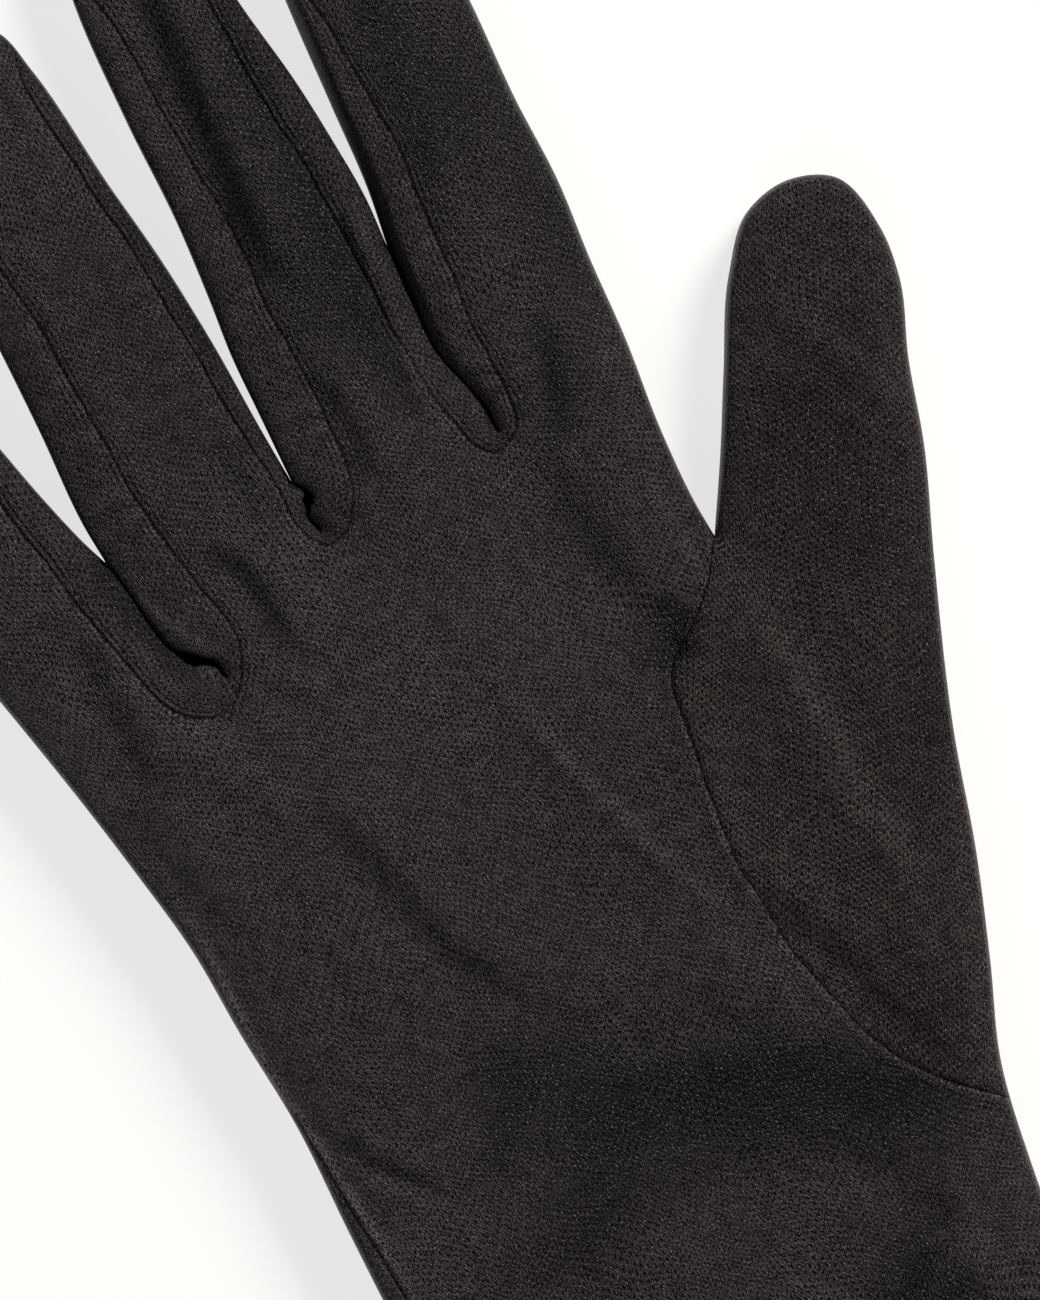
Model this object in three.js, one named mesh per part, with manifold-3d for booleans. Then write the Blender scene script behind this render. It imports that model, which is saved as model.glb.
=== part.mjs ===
import * as THREE from 'three';
import { mergeVertices } from 'three/addons/utils/BufferGeometryUtils.js';
import Module from 'manifold-3d';

// A knitted silk glove liner for the right hand, lying flat with its palm up.
// Millimetres. +Y runs from the wrist's edge to the fingertips, +X to the thumb's side and +Z up.

// Driving dimensions
const WALL = 1;               // the knitted cloth, with the air that stands in it
const SEAM_GAP = 0.3;         // between the edges of two sewn pieces
const EDGE_LEVEL = 1.5;       // height of the glove's outermost edge above the table
const UNDERSIDE_ROLL = 4;     // how far in from the edge the underside is lifted
const PALM_CROWN = 14;        // how far in from its edge the palm reaches its full height
const FINGER_CROWN = 0.72;    // the same on a finger, as a share of its half width
const STATION_STEP = 10;      // between two sections of a loft
const TIP_STATIONS = 4;       // sections in a rounded fingertip
const TIP_BLUNTNESS = 0.7;    // how soon a fingertip's height drops, less is later
const TIP_END = 0.3;          // how much of a station's turn the last section stays short of the tip
const POINT_CROWDING = 0.75;  // how much a section's points draw together towards its edges
const LEAST_HALF_WIDTH = 0.2; // of a section at a fingertip
const LEAST_RISE = 0.1;       // of the upper cloth over the edge, so that a ring never folds over
const UNDERSIDE_SHARE = 0.5;  // the most of a half width that the lifted underside takes
const STRIP_TIP_SHARE = 0.45; // where a side strip's seam ends along the fingertip
const THUMB_TURN = THREE.MathUtils.degToRad(28);
const THUMB_ROOT = { x: 16, y: 68.2 };
const FAR = 40;               // past the glove's outline and height on every side
const SLAB_SIDE = 800;        // of a block that is wider than the whole glove

// The palm and the back's outline across the hand, a row for each section from the wrist up.
const PALM = {
  topPoints: 19,
  underPoints: 6,
  rows: [
    { y: 0, left: -53.0, right: 27.5, height: 7.4 },
    { y: 18, left: -53.4, right: 28.6, height: 7.5 },
    { y: 36, left: -54.0, right: 30.7, height: 7.8 },
    { y: 50, left: -54.3, right: 33.2, height: 8.2 },
    { y: 62, left: -54.3, right: 34.0, height: 8.6 },
    { y: 82, left: -53.6, right: 33.2, height: 9.0 },
    { y: 98, left: -54.2, right: 32.6, height: 9.0 },
    { y: 114, left: -54.9, right: 32.4, height: 9.0 },
    { y: 127, left: -56.7, right: 32.4, height: 8.2 },
    { y: 136, left: -58.2, right: 32.5, height: 7.0 },
    { y: 141, left: -59.2, right: 32.5, height: 5.6 },
  ],
};

// Each finger's outline, with how much of the side strip shows inside each edge.
const FINGERS = {
  index: {
    tipLength: 12,
    rows: [
      { y: 112, left: 7.0, right: 30.0, height: 6.0, leftStrip: 3.3, rightStrip: 0 },
      { y: 128, left: 6.0, right: 32.4, height: 7.8, leftStrip: 3.3, rightStrip: 0 },
      { y: 143, left: 7.0, right: 32.6, height: 7.9, leftStrip: 3.3, rightStrip: 0 },
      { y: 150, left: 10.5, right: 33.2, height: 7.9, leftStrip: 3.3, rightStrip: 0 },
      { y: 157, left: 14.0, right: 34.0, height: 7.8, leftStrip: 3.0, rightStrip: 0 },
      { y: 163, left: 13.1, right: 34.8, height: 7.8, leftStrip: 4.0, rightStrip: 0 },
      { y: 170, left: 12.4, right: 35.3, height: 7.8, leftStrip: 5.2, rightStrip: 0 },
      { y: 184, left: 12.5, right: 36.2, height: 7.8, leftStrip: 6.2, rightStrip: 0 },
      { y: 199, left: 13.9, right: 36.5, height: 7.6, leftStrip: 5.5, rightStrip: 0 },
      { y: 215, left: 15.4, right: 37.3, height: 7.4, leftStrip: 3.4, rightStrip: 0 },
      { y: 225, left: 16.2, right: 37.2, height: 7.2, leftStrip: 1.6, rightStrip: 0 },
    ],
  },
  middle: {
    tipLength: 12,
    rows: [
      { y: 112, left: -15.0, right: 15.0, height: 6.0, leftStrip: 7.5, rightStrip: 4.0 },
      { y: 128, left: -17.0, right: 18.5, height: 7.8, leftStrip: 7.5, rightStrip: 4.0 },
      { y: 143, left: -17.5, right: 20.0, height: 7.9, leftStrip: 7.5, rightStrip: 4.0 },
      { y: 150, left: -16.4, right: 16.6, height: 7.9, leftStrip: 7.5, rightStrip: 4.0 },
      { y: 157, left: -14.8, right: 13.2, height: 7.8, leftStrip: 7.4, rightStrip: 3.9 },
      { y: 163, left: -13.6, right: 12.4, height: 7.8, leftStrip: 7.6, rightStrip: 4.0 },
      { y: 170, left: -13.4, right: 11.8, height: 7.8, leftStrip: 7.6, rightStrip: 4.0 },
      { y: 184, left: -12.7, right: 11.7, height: 7.8, leftStrip: 7.1, rightStrip: 4.2 },
      { y: 197, left: -11.3, right: 12.4, height: 7.8, leftStrip: 6.1, rightStrip: 4.9 },
      { y: 209, left: -10.7, right: 11.6, height: 7.6, leftStrip: 4.8, rightStrip: 4.9 },
      { y: 222, left: -10.3, right: 10.1, height: 7.4, leftStrip: 4.2, rightStrip: 3.6 },
      { y: 234, left: -9.2, right: 9.2, height: 7.2, leftStrip: 1.6, rightStrip: 1.6 },
    ],
  },
  ring: {
    tipLength: 12,
    rows: [
      { y: 112, left: -34.0, right: -12.0, height: 6.0, leftStrip: 8.0, rightStrip: 2.2 },
      { y: 128, left: -38.0, right: -11.5, height: 7.8, leftStrip: 8.0, rightStrip: 2.2 },
      { y: 139, left: -38.5, right: -11.5, height: 7.9, leftStrip: 8.0, rightStrip: 2.2 },
      { y: 144, left: -34.3, right: -11.6, height: 7.9, leftStrip: 4.2, rightStrip: 2.2 },
      { y: 150, left: -37.9, right: -12.0, height: 7.9, leftStrip: 7.4, rightStrip: 2.2 },
      { y: 157, left: -39.3, right: -12.8, height: 7.8, leftStrip: 7.7, rightStrip: 2.6 },
      { y: 164, left: -40.2, right: -14.1, height: 7.8, leftStrip: 7.7, rightStrip: 2.2 },
      { y: 172, left: -40.8, right: -14.4, height: 7.8, leftStrip: 7.9, rightStrip: 2.4 },
      { y: 184, left: -40.3, right: -14.6, height: 7.8, leftStrip: 7.2, rightStrip: 2.8 },
      { y: 197, left: -39.9, right: -15.4, height: 7.8, leftStrip: 6.0, rightStrip: 2.6 },
      { y: 211, left: -39.6, right: -17.1, height: 7.6, leftStrip: 4.2, rightStrip: 2.2 },
      { y: 227, left: -38.6, right: -18.6, height: 7.2, leftStrip: 1.6, rightStrip: 1.6 },
    ],
  },
  little: {
    tipLength: 12,
    rows: [
      { y: 112, left: -54.5, right: -37.0, height: 5.6, leftStrip: 0, rightStrip: 5.6 },
      { y: 128, left: -56.9, right: -34.0, height: 7.4, leftStrip: 0, rightStrip: 5.6 },
      { y: 139, left: -58.8, right: -33.0, height: 7.8, leftStrip: 0, rightStrip: 5.6 },
      { y: 144, left: -59.8, right: -34.6, height: 7.8, leftStrip: 0, rightStrip: 8.2 },
      { y: 150, left: -61.0, right: -38.7, height: 7.8, leftStrip: 0, rightStrip: 5.8 },
      { y: 157, left: -62.4, right: -40.2, height: 7.8, leftStrip: 0, rightStrip: 5.8 },
      { y: 165, left: -64.0, right: -41.7, height: 7.8, leftStrip: 0, rightStrip: 5.6 },
      { y: 175, left: -65.9, right: -43.9, height: 7.8, leftStrip: 0, rightStrip: 5.0 },
      { y: 187, left: -67.9, right: -46.6, height: 7.6, leftStrip: 0, rightStrip: 3.6 },
      { y: 197, left: -69.0, right: -49.0, height: 7.2, leftStrip: 0, rightStrip: 1.6 },
    ],
  },
};
const FINGER_POINTS = { topPoints: 8, underPoints: 4 };

// The thumb's outline in a frame of its own, turned by THUMB_TURN about THUMB_ROOT.
const THUMB = {
  tipLength: 10.2,
  rows: [
    { y: -9, left: 5.0, right: 24.2, height: 6.2 },
    { y: 6, left: -5.0, right: 22.7, height: 8.0 },
    { y: 20, left: -12.5, right: 20.6, height: 9.0 },
    { y: 32, left: -17.0, right: 18.3, height: 9.4 },
    { y: 44, left: -19.4, right: 16.7, height: 9.5 },
    { y: 53, left: -16.2, right: 15.8, height: 9.3 },
    { y: 62, left: -14.1, right: 14.9, height: 9.0 },
    { y: 74, left: -13.4, right: 13.6, height: 8.6 },
    { y: 86, left: -12.9, right: 12.0, height: 8.4 },
    { y: 95, left: -12.4, right: 10.7, height: 8.2 },
    { y: 100.2, left: -11.7, right: 9.1, height: 8.0 },
  ],
};
const THUMB_POINTS = { topPoints: 10, underPoints: 4 };

// The seam round the thumb's base, from the fork between thumb and index down to the wrist's side.
const THUMB_SEAM = [
  { x: 32.9, y: 130.0 },
  { x: 29.1, y: 124.6 },
  { x: 25.1, y: 120.8 },
  { x: 19.4, y: 116.5 },
  { x: 17.4, y: 109.4 },
  { x: 15.6, y: 96.5 },
  { x: 14.7, y: 88.0 },
  { x: 15.4, y: 78.0 },
  { x: 17.2, y: 69.5 },
  { x: 19.5, y: 60.6 },
  { x: 23.0, y: 54.8 },
  { x: 26.5, y: 50.4 },
  { x: 35.0, y: 43.0 },
];
// The way back round the thumb, through the open air beside the index finger.
const THUMB_CLEARANCE = [
  { x: 90, y: 30 },
  { x: 90, y: 185 },
  { x: 50, y: 178 },
  { x: 38.6, y: 147 },
  { x: 34.6, y: 134.5 },
];

// Where the seams of a side strip meet below a fork: the lowest point and where its curve begins.
const FORKS = {
  index_middle: { bottom: 152.6, start: 157.5, right: 'index', left: 'middle' },
  middle_ring: { bottom: 151.8, start: 158.5, right: 'middle', left: 'ring' },
  ring_little: { bottom: 138.6, start: 150.0, right: 'ring', left: 'little' },
};
const FORK_STEPS = 8;

// Folds and dents in the upper cloth: a line, how wide it is and how far it rises.
const FOLDS = [
  { name: 'palm ridge, upper', x1: -6, y1: 146, x2: 3, y2: 107, width: 6, rise: 0.7 },
  { name: 'palm ridge, lower', x1: 3, y1: 107, x2: 10, y2: 88, width: 6, rise: 0.8 },
  { name: 'palm flank', x1: -4, y1: 112, x2: 4, y2: 86, width: 5, rise: -0.9 },
  { name: 'little finger valley', x1: -41, y1: 133, x2: -27, y2: 115, width: 6, rise: -0.9 },
  { name: 'mid palm valley', x1: -27, y1: 115, x2: -17, y2: 88, width: 6, rise: -0.9 },
  { name: 'thumb ridge', x1: 32, y1: 122, x2: 38, y2: 76, width: 6, rise: 0.8 },
  { name: 'thumb base valley', x1: 18, y1: 86, x2: 28, y2: 55, width: 4, rise: -0.9 },
  { name: 'heel hollow', x1: -16, y1: 70, x2: 22, y2: 46, width: 9, rise: -1.4 },
  { name: 'little side fold', x1: -50, y1: 84, x2: -39, y2: 69, width: 4, rise: -0.7 },
  { name: 'index base dent', x1: 19, y1: 147, x2: 21, y2: 122, width: 5, rise: -0.9 },
  { name: 'middle finger dent', x1: -2, y1: 226, x2: -2, y2: 186, width: 3, rise: -0.6 },
  { name: 'index finger dent', x1: 24, y1: 222, x2: 25, y2: 196, width: 4, rise: -0.5 },
  { name: 'ring finger base dent', x1: -28, y1: 158, x2: -24, y2: 142, width: 4, rise: -0.7 },
  { name: 'little finger base dent', x1: -50, y1: 154, x2: -47, y2: 136, width: 4, rise: -0.5 },
  { name: 'thumb crease', x1: 53, y1: 153, x2: 63, y2: 132, width: 4, rise: -0.5 },
];

// Materials: fine black knitted silk, a little lighter where the cloth lies in another direction.
const trankSilk = new THREE.MeshStandardMaterial({ color: '#2b2827', roughness: 0.72, metalness: 0 });
const thumbSilk = new THREE.MeshStandardMaterial({ color: '#2e2a29', roughness: 0.72, metalness: 0 });
const stripSilk = new THREE.MeshStandardMaterial({ color: '#262322', roughness: 0.75, metalness: 0 });

// The value of one column of a table at any y, on a smooth curve through its rows.
function column(rows, name, y) {
  const last = rows.length - 1;
  let k = 0;
  while (k < last - 1 && y > rows[k + 1].y) k += 1;
  const a = rows[k];
  const b = rows[k + 1];
  const before = rows[Math.max(k - 1, 0)];
  const after = rows[Math.min(k + 2, last)];
  const span = b.y - a.y;
  const t = THREE.MathUtils.clamp((y - a.y) / span, 0, 1);
  const slopeA = (b[name] - before[name]) / (b.y - before.y) * span;
  const slopeB = (after[name] - a[name]) / (after.y - a.y) * span;
  return a[name] * (2 * t ** 3 - 3 * t ** 2 + 1) + slopeA * (t ** 3 - 2 * t ** 2 + t)
    + b[name] * (3 * t ** 2 - 2 * t ** 3) + slopeB * (t ** 3 - t ** 2);
}

// How far the folds lift or lower the upper cloth at a point of the glove.
function foldHeight(x, y) {
  let height = 0;
  for (const fold of FOLDS) {
    const dx = fold.x2 - fold.x1;
    const dy = fold.y2 - fold.y1;
    const along = ((x - fold.x1) * dx + (y - fold.y1) * dy) / (dx * dx + dy * dy);
    const t = THREE.MathUtils.clamp(along, 0, 1);
    const away = Math.hypot(x - fold.x1 - t * dx, y - fold.y1 - t * dy);
    height += fold.rise * Math.exp(-((away / fold.width) ** 2));
  }
  return height;
}

// A share from 0 at the edge to 1 where the cloth has reached its full height.
function roll(distance, width) {
  const e = THREE.MathUtils.clamp(distance / width, 0, 1);
  return Math.sqrt(1 - (1 - e) ** 2);
}

// Sections of a loft at even steps, and then those of a rounded tip.
function stationsOf(shape) {
  const first = shape.rows[0].y;
  const last = shape.rows[shape.rows.length - 1].y;
  const count = Math.round((last - first) / STATION_STEP);
  const stations = [];
  for (let k = 0; k <= count; k += 1) {
    const y = first + (last - first) * k / count;
    stations.push({
      y,
      left: column(shape.rows, 'left', y),
      right: column(shape.rows, 'right', y),
      height: column(shape.rows, 'height', y),
    });
  }
  if (!shape.tipLength) return stations;
  const base = stations[stations.length - 1];
  const middle = (base.left + base.right) / 2;
  const halfWidth = (base.right - base.left) / 2;
  for (let k = 1; k <= TIP_STATIONS; k += 1) {
    const angle = Math.PI / 2 * k / (TIP_STATIONS + TIP_END);
    const narrow = Math.cos(angle);
    stations.push({
      y: last + shape.tipLength * Math.sin(angle),
      left: middle - halfWidth * narrow,
      right: middle + halfWidth * narrow,
      height: EDGE_LEVEL + (base.height - EDGE_LEVEL) * narrow ** TIP_BLUNTNESS,
    });
  }
  return stations;
}

// One section's closed ring: over the top from right to left, then back along the underside.
function ringOf(station, points, crown, inset, place) {
  const left = station.left + inset;
  const right = station.right - inset;
  const middle = (left + right) / 2;
  const halfWidth = Math.max((right - left) / 2, LEAST_HALF_WIDTH);
  const crownWidth = Math.min(crown, halfWidth * FINGER_CROWN);
  const ring = [];
  const spread = (k, count) => POINT_CROWDING * Math.cos(Math.PI * k / count)
    + (1 - POINT_CROWDING) * (1 - 2 * k / count);
  for (let k = 0; k < points.topPoints; k += 1) {
    const u = spread(k, points.topPoints);
    const at = place(middle + halfWidth * u, station.y);
    const rise = roll(halfWidth * (1 - Math.abs(u)), crownWidth);
    const crownHeight = Math.max(station.height - inset - EDGE_LEVEL, LEAST_RISE);
    const height = Math.max(crownHeight + foldHeight(at.x, at.y) * rise, LEAST_RISE);
    ring.push(new THREE.Vector3(at.x, at.y, EDGE_LEVEL + height * rise));
  }
  for (let k = 0; k < points.underPoints; k += 1) {
    const u = -spread(k, points.underPoints);
    const at = place(middle + halfWidth * u, station.y);
    const rollWidth = Math.min(UNDERSIDE_ROLL, halfWidth * UNDERSIDE_SHARE);
    const lift = 1 - roll(halfWidth * (1 - Math.abs(u)), rollWidth);
    ring.push(new THREE.Vector3(at.x, at.y, inset + (EDGE_LEVEL - inset) * lift));
  }
  return ring;
}

// A closed body through a list of rings, with a fan over each end.
function loft(rings) {
  const size = rings[0].length;
  const points = rings.flat();
  const faces = [];
  for (let j = 0; j + 1 < rings.length; j += 1) {
    for (let i = 0; i < size; i += 1) {
      const next = (i + 1) % size;
      const a = j * size + i;
      const b = j * size + next;
      const c = a + size;
      const d = b + size;
      faces.push(a, c, d, a, d, b);
    }
  }
  const ends = [rings[0], rings[rings.length - 1]];
  ends.forEach((ring, end) => {
    const centre = new THREE.Vector3();
    ring.forEach((point) => centre.addScaledVector(point, 1 / size));
    const hub = points.push(centre) - 1;
    const start = end === 0 ? 0 : (rings.length - 1) * size;
    for (let i = 0; i < size; i += 1) {
      const next = start + (i + 1) % size;
      if (end === 0) faces.push(hub, start + i, next);
      else faces.push(hub, next, start + i);
    }
  });
  const geometry = new THREE.BufferGeometry().setFromPoints(points);
  geometry.setIndex(faces);
  return geometry;
}

const wasm = await Module();
wasm.setup();

// A boolean solid from a closed geometry whose shared vertices are merged.
function solidOf(geometry) {
  const bare = geometry.clone();
  bare.deleteAttribute('normal');
  bare.deleteAttribute('uv');
  const merged = mergeVertices(bare);
  const mesh = new wasm.Mesh({
    numProp: 3,
    vertProperties: new Float32Array(merged.attributes.position.array),
    triVerts: new Uint32Array(merged.index.array),
  });
  return new wasm.Manifold(mesh);
}

// A named, coloured mesh from a boolean solid.
function meshOf(solid, name, material) {
  const { vertProperties, triVerts } = solid.getMesh();
  const geometry = new THREE.BufferGeometry();
  geometry.setAttribute('position', new THREE.BufferAttribute(new Float32Array(vertProperties), 3));
  geometry.setIndex(new THREE.BufferAttribute(new Uint32Array(triVerts), 1));
  geometry.computeVertexNormals();
  const mesh = new THREE.Mesh(geometry, material);
  mesh.name = name;
  return mesh;
}

// The outer form of a piece, or with an inset the hollow inside it.
function bodyOf(shape, points, crown, inset, place) {
  const stations = stationsOf(shape);
  if (inset > 0) {
    if (shape.tipLength) stations[stations.length - 1].y -= inset;
    else stations[0].y -= inset;
  }
  return solidOf(loft(stations.map((station) => ringOf(station, points, crown, inset, place))));
}

// The whole glove's outer form, or with an inset its hollow.
function gloveForm(inset) {
  const upright = (x, y) => ({ x, y });
  const turned = (x, y) => ({
    x: THUMB_ROOT.x + x * Math.cos(THUMB_TURN) + y * Math.sin(THUMB_TURN),
    y: THUMB_ROOT.y - x * Math.sin(THUMB_TURN) + y * Math.cos(THUMB_TURN),
  });
  let form = bodyOf(PALM, PALM, PALM_CROWN, inset, upright);
  for (const finger of Object.values(FINGERS)) {
    form = form.add(bodyOf(finger, FINGER_POINTS, PALM_CROWN, inset, upright));
  }
  return form.add(bodyOf(THUMB, THUMB_POINTS, PALM_CROWN, inset, turned));
}

// An outline moved outward (or inward, when the distance is negative) along its own normals.
function offsetOutline(outline, distance) {
  return outline.map((point, k) => {
    const before = outline[(k + outline.length - 1) % outline.length];
    const after = outline[(k + 1) % outline.length];
    const into = new THREE.Vector2(point.x - before.x, point.y - before.y).normalize();
    const out = new THREE.Vector2(after.x - point.x, after.y - point.y).normalize();
    const normal = new THREE.Vector2(into.y + out.y, -into.x - out.x).normalize();
    return { x: point.x + normal.x * distance, y: point.y + normal.y * distance };
  });
}

// An upright prism over an outline, taller than the glove.
function prismOf(outline) {
  const shape = new THREE.Shape(outline.map((point) => new THREE.Vector2(point.x, point.y)));
  const prism = new THREE.ExtrudeGeometry(shape, { depth: 2 * FAR, bevelEnabled: false });
  prism.translate(0, 0, -FAR);
  return solidOf(prism);
}

// The seam line on one side of a finger, as points from the fork up to the tip.
function stripLine(finger, side, start) {
  const sign = side === 'left' ? 1 : -1;
  const line = [];
  for (const row of finger.rows) {
    if (row.y <= start) continue;
    line.push({ x: row[side] + sign * row[`${side}Strip`], y: row.y });
  }
  const top = finger.rows[finger.rows.length - 1];
  line.push({ x: top[side], y: top.y + finger.tipLength * STRIP_TIP_SHARE });
  return line;
}

// The region of one side strip: up one finger, across the gap, down the next and round the fork.
function stripOutline(fork) {
  const rightFinger = FINGERS[fork.right];
  const leftFinger = FINGERS[fork.left];
  const rightLine = stripLine(rightFinger, 'left', fork.start);
  const leftLine = stripLine(leftFinger, 'right', fork.start);
  const atStart = (finger, side) => {
    const sign = side === 'left' ? 1 : -1;
    const edge = column(finger.rows, side, fork.start);
    return edge + sign * column(finger.rows, `${side}Strip`, fork.start);
  };
  const rightX = atStart(rightFinger, 'left');
  const leftX = atStart(leftFinger, 'right');
  const middle = (rightX + leftX) / 2;
  const bend = [];
  for (let k = 0; k <= FORK_STEPS; k += 1) {
    const angle = Math.PI * k / FORK_STEPS;
    bend.push({
      x: middle - (rightX - leftX) / 2 * Math.cos(angle),
      y: fork.start - (fork.start - fork.bottom) * Math.sin(angle),
    });
  }
  return [...bend, ...rightLine, ...leftLine.reverse()];
}

// An upright-sided block from one height to another, wider than the glove.
function slabOf(low, high) {
  const slab = new THREE.BoxGeometry(SLAB_SIDE, SLAB_SIDE, high - low);
  slab.translate(0, 0, (low + high) / 2);
  return solidOf(slab);
}

// The palm side and the back of a piece, parted along its folded edge.
function sidesOf(solid) {
  return {
    palm: solid.subtract(slabOf(-FAR, EDGE_LEVEL + SEAM_GAP / 2)),
    back: solid.subtract(slabOf(EDGE_LEVEL - SEAM_GAP / 2, FAR)),
  };
}

// Make the glove
const shell = gloveForm(0).subtract(gloveForm(WALL));
const thumbOutline = [...THUMB_SEAM, ...THUMB_CLEARANCE];
const stripOutlines = Object.fromEntries(
  Object.entries(FORKS).map(([name, fork]) => [name, stripOutline(fork)]),
);

const group = new THREE.Group();
let trank = shell.subtract(prismOf(offsetOutline(thumbOutline, SEAM_GAP)));
for (const outline of Object.values(stripOutlines)) {
  trank = trank.subtract(prismOf(offsetOutline(outline, SEAM_GAP)));
}
for (const [side, solid] of Object.entries(sidesOf(trank))) {
  group.add(meshOf(solid, `trank_${side}`, trankSilk));
}
for (const [side, solid] of Object.entries(sidesOf(shell.intersect(prismOf(thumbOutline))))) {
  group.add(meshOf(solid, `thumb_${side}`, thumbSilk));
}
for (const [name, outline] of Object.entries(stripOutlines)) {
  group.add(meshOf(shell.intersect(prismOf(outline)), `fourchette_${name}`, stripSilk));
}

// The origin is under the middle of the glove, on the table.
const size = new THREE.Box3().setFromObject(group);
group.position.set(-(size.min.x + size.max.x) / 2, -(size.min.y + size.max.y) / 2, -size.min.z);

export default group;
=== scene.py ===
import math

import bpy
import numpy as np
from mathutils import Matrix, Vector, kdtree
from mathutils.geometry import delaunay_2d_cdt


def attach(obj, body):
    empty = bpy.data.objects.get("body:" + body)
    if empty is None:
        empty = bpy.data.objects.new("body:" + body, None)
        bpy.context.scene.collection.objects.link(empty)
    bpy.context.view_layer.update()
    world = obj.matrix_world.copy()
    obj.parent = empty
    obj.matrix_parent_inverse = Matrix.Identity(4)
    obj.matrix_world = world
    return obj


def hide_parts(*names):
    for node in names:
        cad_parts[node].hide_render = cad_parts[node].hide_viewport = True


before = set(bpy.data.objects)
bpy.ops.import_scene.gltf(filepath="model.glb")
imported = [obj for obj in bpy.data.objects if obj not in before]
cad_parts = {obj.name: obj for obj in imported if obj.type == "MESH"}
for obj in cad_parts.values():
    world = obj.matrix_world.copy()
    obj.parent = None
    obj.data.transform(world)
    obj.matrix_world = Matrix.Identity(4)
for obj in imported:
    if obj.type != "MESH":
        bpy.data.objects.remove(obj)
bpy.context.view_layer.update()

# A knitted silk glove liner for the right hand, lying flat with its palm up.
# Outlines, seams and folds are in the glove's own millimetres: y runs from the wrist's edge
# to the fingertips and x to the thumb's side. Finished meshes, lights and camera are in metres.

MM = 0.001
GLOVE_ORIGIN = (-1.600, -122.964)  # mm, the middle of the wrist's edge in the part's frame

# The cloth
CLOTH = 0.6  # mm, thickness of the knit
HEM_WIDTH = 13.0  # mm, the turned edge at the wrist
HEM_THICKNESS = 1.2  # mm, where the cloth lies double
RIB_SPACING = 0.64  # mm, from one column of stitches to the next
STITCH_PITCH = 1.06  # mm, from one stitch to the next along a column
THUMB_RIB_SPACING = 0.72  # mm, on the thumb, where the knit is drawn wider and shorter
THUMB_STITCH_PITCH = 0.98  # mm
HEM_SOFTNESS = 0.8  # mm, to either side of the hem's upper edge, where it thins out
HEM_RISE = 0.35  # mm, how much higher the double cloth lies
HEM_GROOVE = (0.30, 0.5, HEM_WIDTH - 1.2)  # mm, its stitches' groove: depth, width and place
EDGE_LEVEL = 1.5  # mm, height of the glove's outermost edge above the table
UNDERSIDE_LIFT = 0.03  # mm, from the table to the cloth that lies on it
LEAST_RISE = 0.02  # mm, of the upper cloth over the level of the edge

# The seams, in mm. A pair is a depth or height and a width. A third number is how far from the
# seam it lies.
SEAM_LAP = 0.10  # how far each piece reaches past the seam's line, into the seam
SEAM_SLOPE = 1.4  # how steeply the cloth turns down past the seam's line
SEAM_FADE = 2.5  # how near the glove's edge a seam flattens out
SEAM_RIB = 0.8  # from one raised rib beside a seam to the next
FIRST_RIB = 0.45  # from the seam to the first rib
PAST_FORK = 8.0  # how far the two halves of a strip's knit are carried on past its fork
GROOVE = (0.12, 0.24)  # where the stitches are pulled firm
SHOULDER = (0.34, 1.1)  # the cloth's slope down to a side strip's seam
STRIP_EDGE = (0.06, 0.5)  # a strip's own edge
STRIP_RIBS = (0.09, 1.5, 1.0)  # and the ribs beside it
TRANK_EDGE = (0.10, 0.4)  # the trank's edge at a strip
TRANK_RIBS = (0.08, 0.8, 0.7)  # and the ribs beside it
THUMB_DIP = (0.30, 0.9)  # the thumb's slope down to its seam
FORK_DIP = (0.40, 2.5)  # the same at the thumb's fork, where it folds over
WELT_EDGE = (0.2, 0.6)  # the trank's edge at the thumb
WELT = (0.26, 0.5, 0.75)  # the raised welt that the trank's turned edge makes there
FORK_PIT = (0.6, 1.8, 2.4)  # the hollow in the trank beside the thumb's fork
FORK_FOLD = (10, 30)  # how far from the fork that fold starts to flatten and is gone
FORK_SOFTNESS = 0.9  # share of the groove's depth that the fold takes away
UNDER_SEAM = (0.35, 0.9)  # how a seam lifts the cloth that lies on the table
OUTSEAM_GROOVE = (0.40, 0.24)
OUTSEAM_FADE = (0.1, 1.0)  # how far from the glove's edge the outseam starts to show and is full
PUCKER = (0.08, 2.2)  # the small waves that the stitches draw into the cloth
PUCKER_WAVE = (3.3 / (2 * math.pi), 1.3, 4.1)  # their mm for each radian, and their sway and its mm
FIRMNESS = (0.65, 0.35)  # how firmly the stitches are pulled: its mean, and how far it strays
FIRM_WAVE = (3.1, 1.7, 7.3)  # the wave in which it strays

# The knit's looks. A shade of 0 is the painted shade in a hollow of the knit and 1 is the thread's own
# colour; above 1 it is a painted highlight.
COLUMN_LEAN = 0.10  # how far the columns lean aside for each mm along
LEG_SHARPNESS = 0.7  # how much narrower than a plain wave the legs and pinholes are
DRIFT = 8.0  # mm, how far the columns stray over the whole glove
SHAKE = 0.12  # mm, how far single stitches stray
# How many of each there are in a mm, and how much finer detail they have. The glints are painted highlights
# of the filaments.
PATTERNS = {"drift": (0.045, 1.0), "shake": (0.7, 2.0), "wear": (0.5, 2.0), "glints": (3.1, 1.0)}
FILAMENTS_PER_MM = 6.0
FILAMENT_LENGTH = 0.45  # how many of those there are lengthwise for each one across
TINT_LEVELS = (0.35, 0.65)  # of wear, from all cool thread to all warm
PAINTED_GLINT_LEVELS = (0.66, 0.76)  # from none to a full painted glint
RELIEF = 0.00012  # m, depth of the knit's relief
PINHOLE_RELIEF = -0.2
FILAMENT_RELIEF = 1.2
RIB_RELIEF = 0.5
PLAIN_SHADE = 0.72
# painted shade in the knit's pinholes
PAINTED_PINHOLE_SHADE = -0.36
# random grain of the filaments, with painted highlights where they lie brightest
FILAMENT_GRAIN_AND_GLINT = 4.4
WEAR_SHADE = 1.9
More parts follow.
